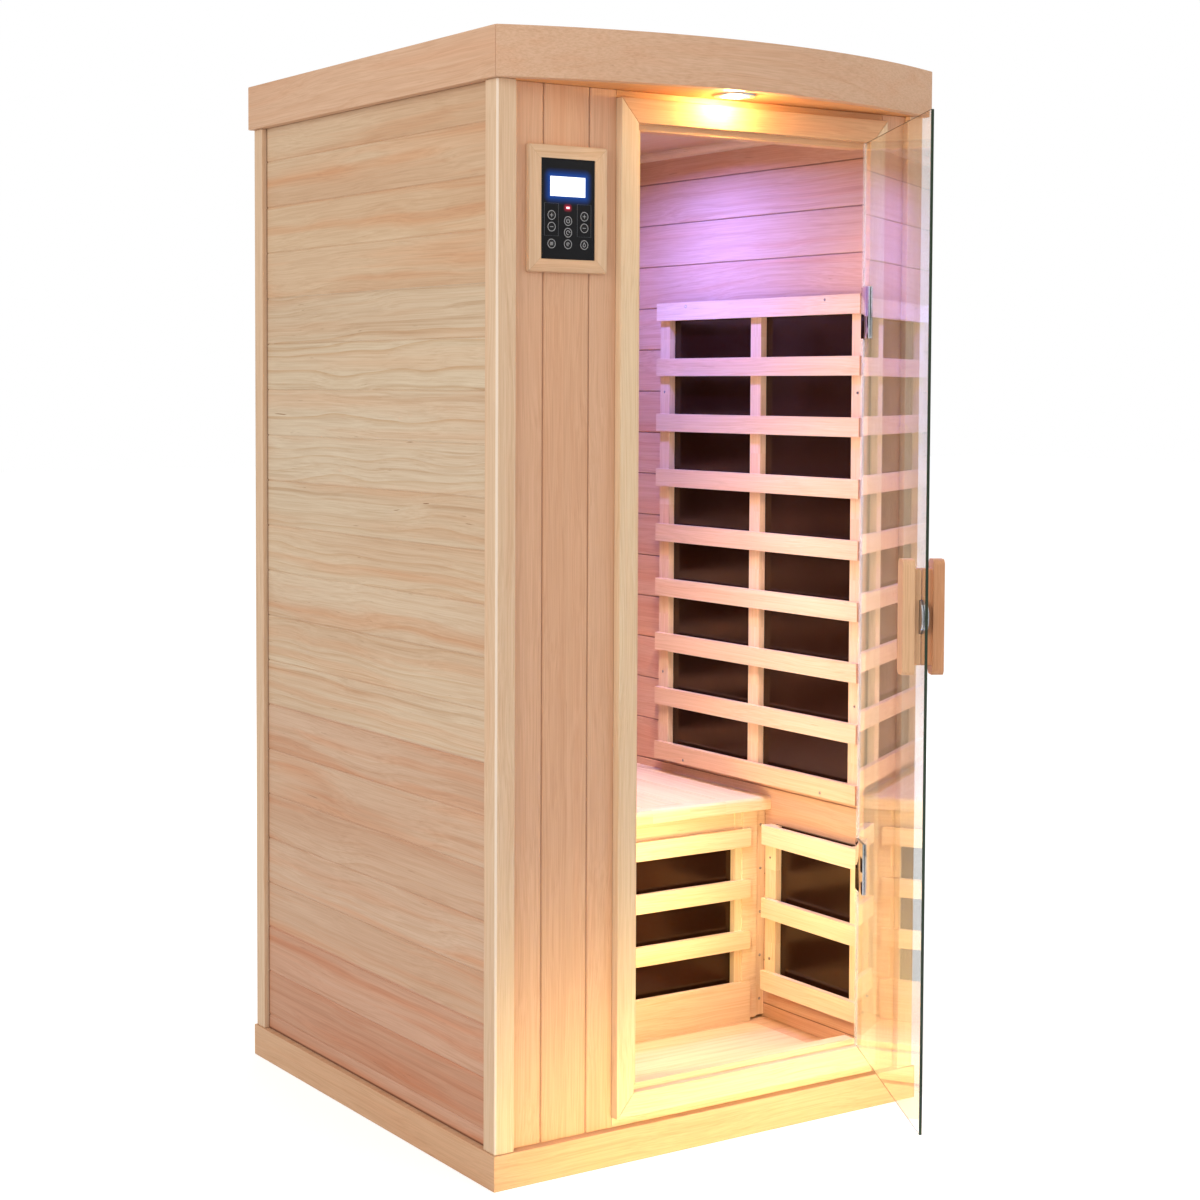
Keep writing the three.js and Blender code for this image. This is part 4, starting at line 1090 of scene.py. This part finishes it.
def make_pair_frames():
    """Thin frames round the outer pairs of keys."""
    shape = bmesh.new()
    grey = plastic("print_grey", srgb(96, 98, 104), 0.5)
    pad_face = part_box("control_keypad")[0].y
    for side in ("left", "right"):
        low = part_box(f"key_{side}_2")[0]
        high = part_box(f"key_{side}_1")[1]
        left, right = low.x - PAIR_FRAME_REACH, high.x + PAIR_FRAME_REACH
        foot, head = low.z - PAIR_FRAME_FOOT, high.z + PAIR_FRAME_HEAD
        corners = [(left, foot), (right, foot), (right, head), (left, head)]
        add_stroke(shape, corners, pad_face, PAIR_FRAME_WIDTH, closed=True)
    piece_from("keypad_print", shape, [grey], "cabin")


def make_led():
    """The red indicator under the display."""
    low, high = led_box()
    shape = bmesh.new()
    add_box(shape, low, high - Vector((0, LED_HALF.y + CONTACT, 0)))
    bmesh.ops.bevel(shape, geom=shape.edges[:], offset=LED_BEVEL, segments=2, profile=0.5, affect="EDGES")
    red = lit("indicator_red", (1.0, 0.42, 0.48, 1.0), 2.2)
    piece_from("power_indicator", shape, [red], "cabin")


# Stage

def make_stage():
    """A plain pale floor that keeps the shadow."""
    graph = Graph("floor_pale")
    grain = graph.noise(graph.place(), 3.0, 2.0)
    graph.set(
        Base_Color=graph.mix(grain, (0.82, 0.82, 0.82, 1.0), (0.84, 0.84, 0.84, 1.0)),
        Roughness=0.9,
        Specular_IOR_Level=0.0,
    )
    path = graph.add("ShaderNodeLightPath")
    glow = graph.add("ShaderNodeEmission")
    seen = graph.math("MAXIMUM", path.outputs["Is Camera Ray"], path.outputs["Is Transmission Ray"])
    graph.put(glow.inputs["Strength"], graph.math("MULTIPLY", seen, FLOOR_GLOW))
    joined = graph.add("ShaderNodeAddShader")
    graph.put(joined.inputs[0], graph.shader.outputs[0])
    graph.put(joined.inputs[1], glow.outputs[0])
    graph.put(graph.output.inputs["Surface"], joined.outputs[0])
    shape = bmesh.new()
    bmesh.ops.create_grid(shape, x_segments=1, y_segments=1, size=FLOOR_REACH)
    mesh = bpy.data.meshes.new("studio_floor")
    shape.to_mesh(mesh)
    shape.free()
    mesh.materials.append(graph.material)
    floor = bpy.data.objects.new("studio_floor", mesh)
    bpy.context.scene.collection.objects.link(floor)


def make_world():
    """White to look at, an even soft light, and reflections that darken towards the horizon."""
    world = bpy.data.worlds.new("studio")
    bpy.context.scene.world = world
    world.use_nodes = True
    tree = world.node_tree
    background = tree.nodes["Background"]
    background.inputs["Color"].default_value = (1.0, 1.0, 1.0, 1.0)

    def mixed(share, low, high):
        node = tree.nodes.new("ShaderNodeMapRange")
        for name, value in (("Value", share), ("To Min", low), ("To Max", high)):
            socket = node.inputs[name]
            if isinstance(value, bpy.types.NodeSocket):
                tree.links.new(value, socket)
            else:
                socket.default_value = value
        return node.outputs[0]

    path = tree.nodes.new("ShaderNodeLightPath").outputs
    way = tree.nodes.new("ShaderNodeSeparateXYZ")
    tree.links.new(tree.nodes.new("ShaderNodeTexCoord").outputs["Generated"], way.inputs[0])
    reflected = mixed(way.outputs["Z"], *WORLD_REFLECTED)
    level = mixed(path["Is Glossy Ray"], WORLD_LIGHT, reflected)
    for name in ("Is Camera Ray", "Is Transmission Ray"):
        level = mixed(path[name], level, 1.0)
    tree.links.new(level, background.inputs["Strength"])


def add_light(name, kind, place, target, energy, colour=(1.0, 1.0, 1.0), glossy=True, **settings):
    """A lamp that isn't seen directly or through glass, nor in reflections where glossy is false."""
    light = bpy.data.lights.new(name, kind)
    light.energy = energy
    light.color = colour
    for key, value in settings.items():
        setattr(light, key, value)
    lamp = bpy.data.objects.new(name, light)
    lamp.location = place
    lamp.rotation_euler = (Vector(target) - Vector(place)).to_track_quat("-Z", "Y").to_euler()
    lamp.visible_camera = False
    lamp.visible_transmission = False
    lamp.visible_glossy = glossy
    bpy.context.scene.collection.objects.link(lamp)


def make_studio_lights():
    """A soft key light, with fills at the front and the rear."""
    for name, (place, target, watts, size) in STUDIO_LAMPS.items():
        add_light(name, "AREA", place, target, watts, size=size)


def make_fill_lights():
    """The yellow glow low in and before the cabin, and soft light on the bench and the right wall."""
    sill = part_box("door_frame_sill")[1]
    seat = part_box("bench_seat")[0]
    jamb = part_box("door_frame_left")[1].x
    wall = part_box("right_wall_panel")[0].x
    middle = (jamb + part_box("door_frame_right")[0].x) / 2
    add_light(
        "low_glow", "AREA", (0.05, -0.95, 0.05), (0.05, -0.3, 0.05), energy=2.5,
        colour=LAMP_YELLOW, glossy=False, shape="RECTANGLE", size=1.0, size_y=0.12, spread=math.radians(95))
    add_light(
        "floor_spill", "POINT", (middle, sill.y + 0.14, sill.z + 0.23), (middle, 0.0, 0.0), energy=4.3,
        colour=LAMP_YELLOW, glossy=False, shadow_soft_size=0.1)
    add_light(
        "bench_fill", "AREA", (middle - 0.1, sill.y + 0.04, 1.55), (0.1, seat.y + 0.2, seat.z), energy=3.5,
        colour=LAMP_FILL, glossy=False, shape="DISK", size=0.3, spread=math.radians(75))
    add_light(
        "cabin_fill", "AREA", (jamb + 0.05, sill.y + 0.06, 1.05), (wall, sill.y + 0.2, 1.05), energy=2.7,
        colour=LAMP_FILL, glossy=False, shape="RECTANGLE", size=0.1, size_y=1.1, spread=math.radians(140))


def make_lamp_lights():
    """What the downlight and the colour lamp give."""
    low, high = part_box("downlight")
    lens = (low + high) / 2
    add_light(
        "downlight_beam", "POINT", (lens.x, lens.y, low.z - 8 * MM), (lens.x, lens.y, 0.0), energy=2.6,
        colour=LAMP_WARM, shadow_soft_size=0.015)
    low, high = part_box("colour_lamp")
    lamp = (low + high) / 2
    behind = lamp.y + 0.16
    add_light(
        "colour_lamp_light", "AREA", (lamp.x, behind, low.z - 2 * MM), (lamp.x, behind, 0.0), energy=11.5,
        colour=LAMP_VIOLET, shape="DISK", size=0.06, spread=math.radians(168))


def make_camera():
    """The photograph's view."""
    camera = bpy.data.objects.new("camera", bpy.data.cameras.new("camera"))
    camera.data.sensor_width = CAMERA_SENSOR
    camera.data.lens = CAMERA_LENS
    camera.data.shift_y = CAMERA_SHIFT_Y
    forward = Vector((
        math.sin(CAMERA_YAW) * math.cos(CAMERA_PITCH),
        math.cos(CAMERA_YAW) * math.cos(CAMERA_PITCH),
        math.sin(CAMERA_PITCH),
    ))
    turn = forward.to_track_quat("-Z", "Y").to_matrix().to_4x4()
    camera.matrix_world = Matrix.Translation(CAMERA_PLACE) @ turn @ Matrix.Rotation(CAMERA_ROLL, 4, "Z")
    bpy.context.scene.collection.objects.link(camera)
    bpy.context.scene.camera = camera


bpy.context.scene.view_settings.view_transform = "Standard"
make_camera()
make_world()
make_stage()
make_studio_lights()
make_fill_lights()
make_lamp_lights()
finish_wood()
finish_rest()
make_glass()
make_seal()
make_ceiling_bead()
make_downlight_lens()
make_screws()
make_key_prints()
make_pair_frames()
make_led()
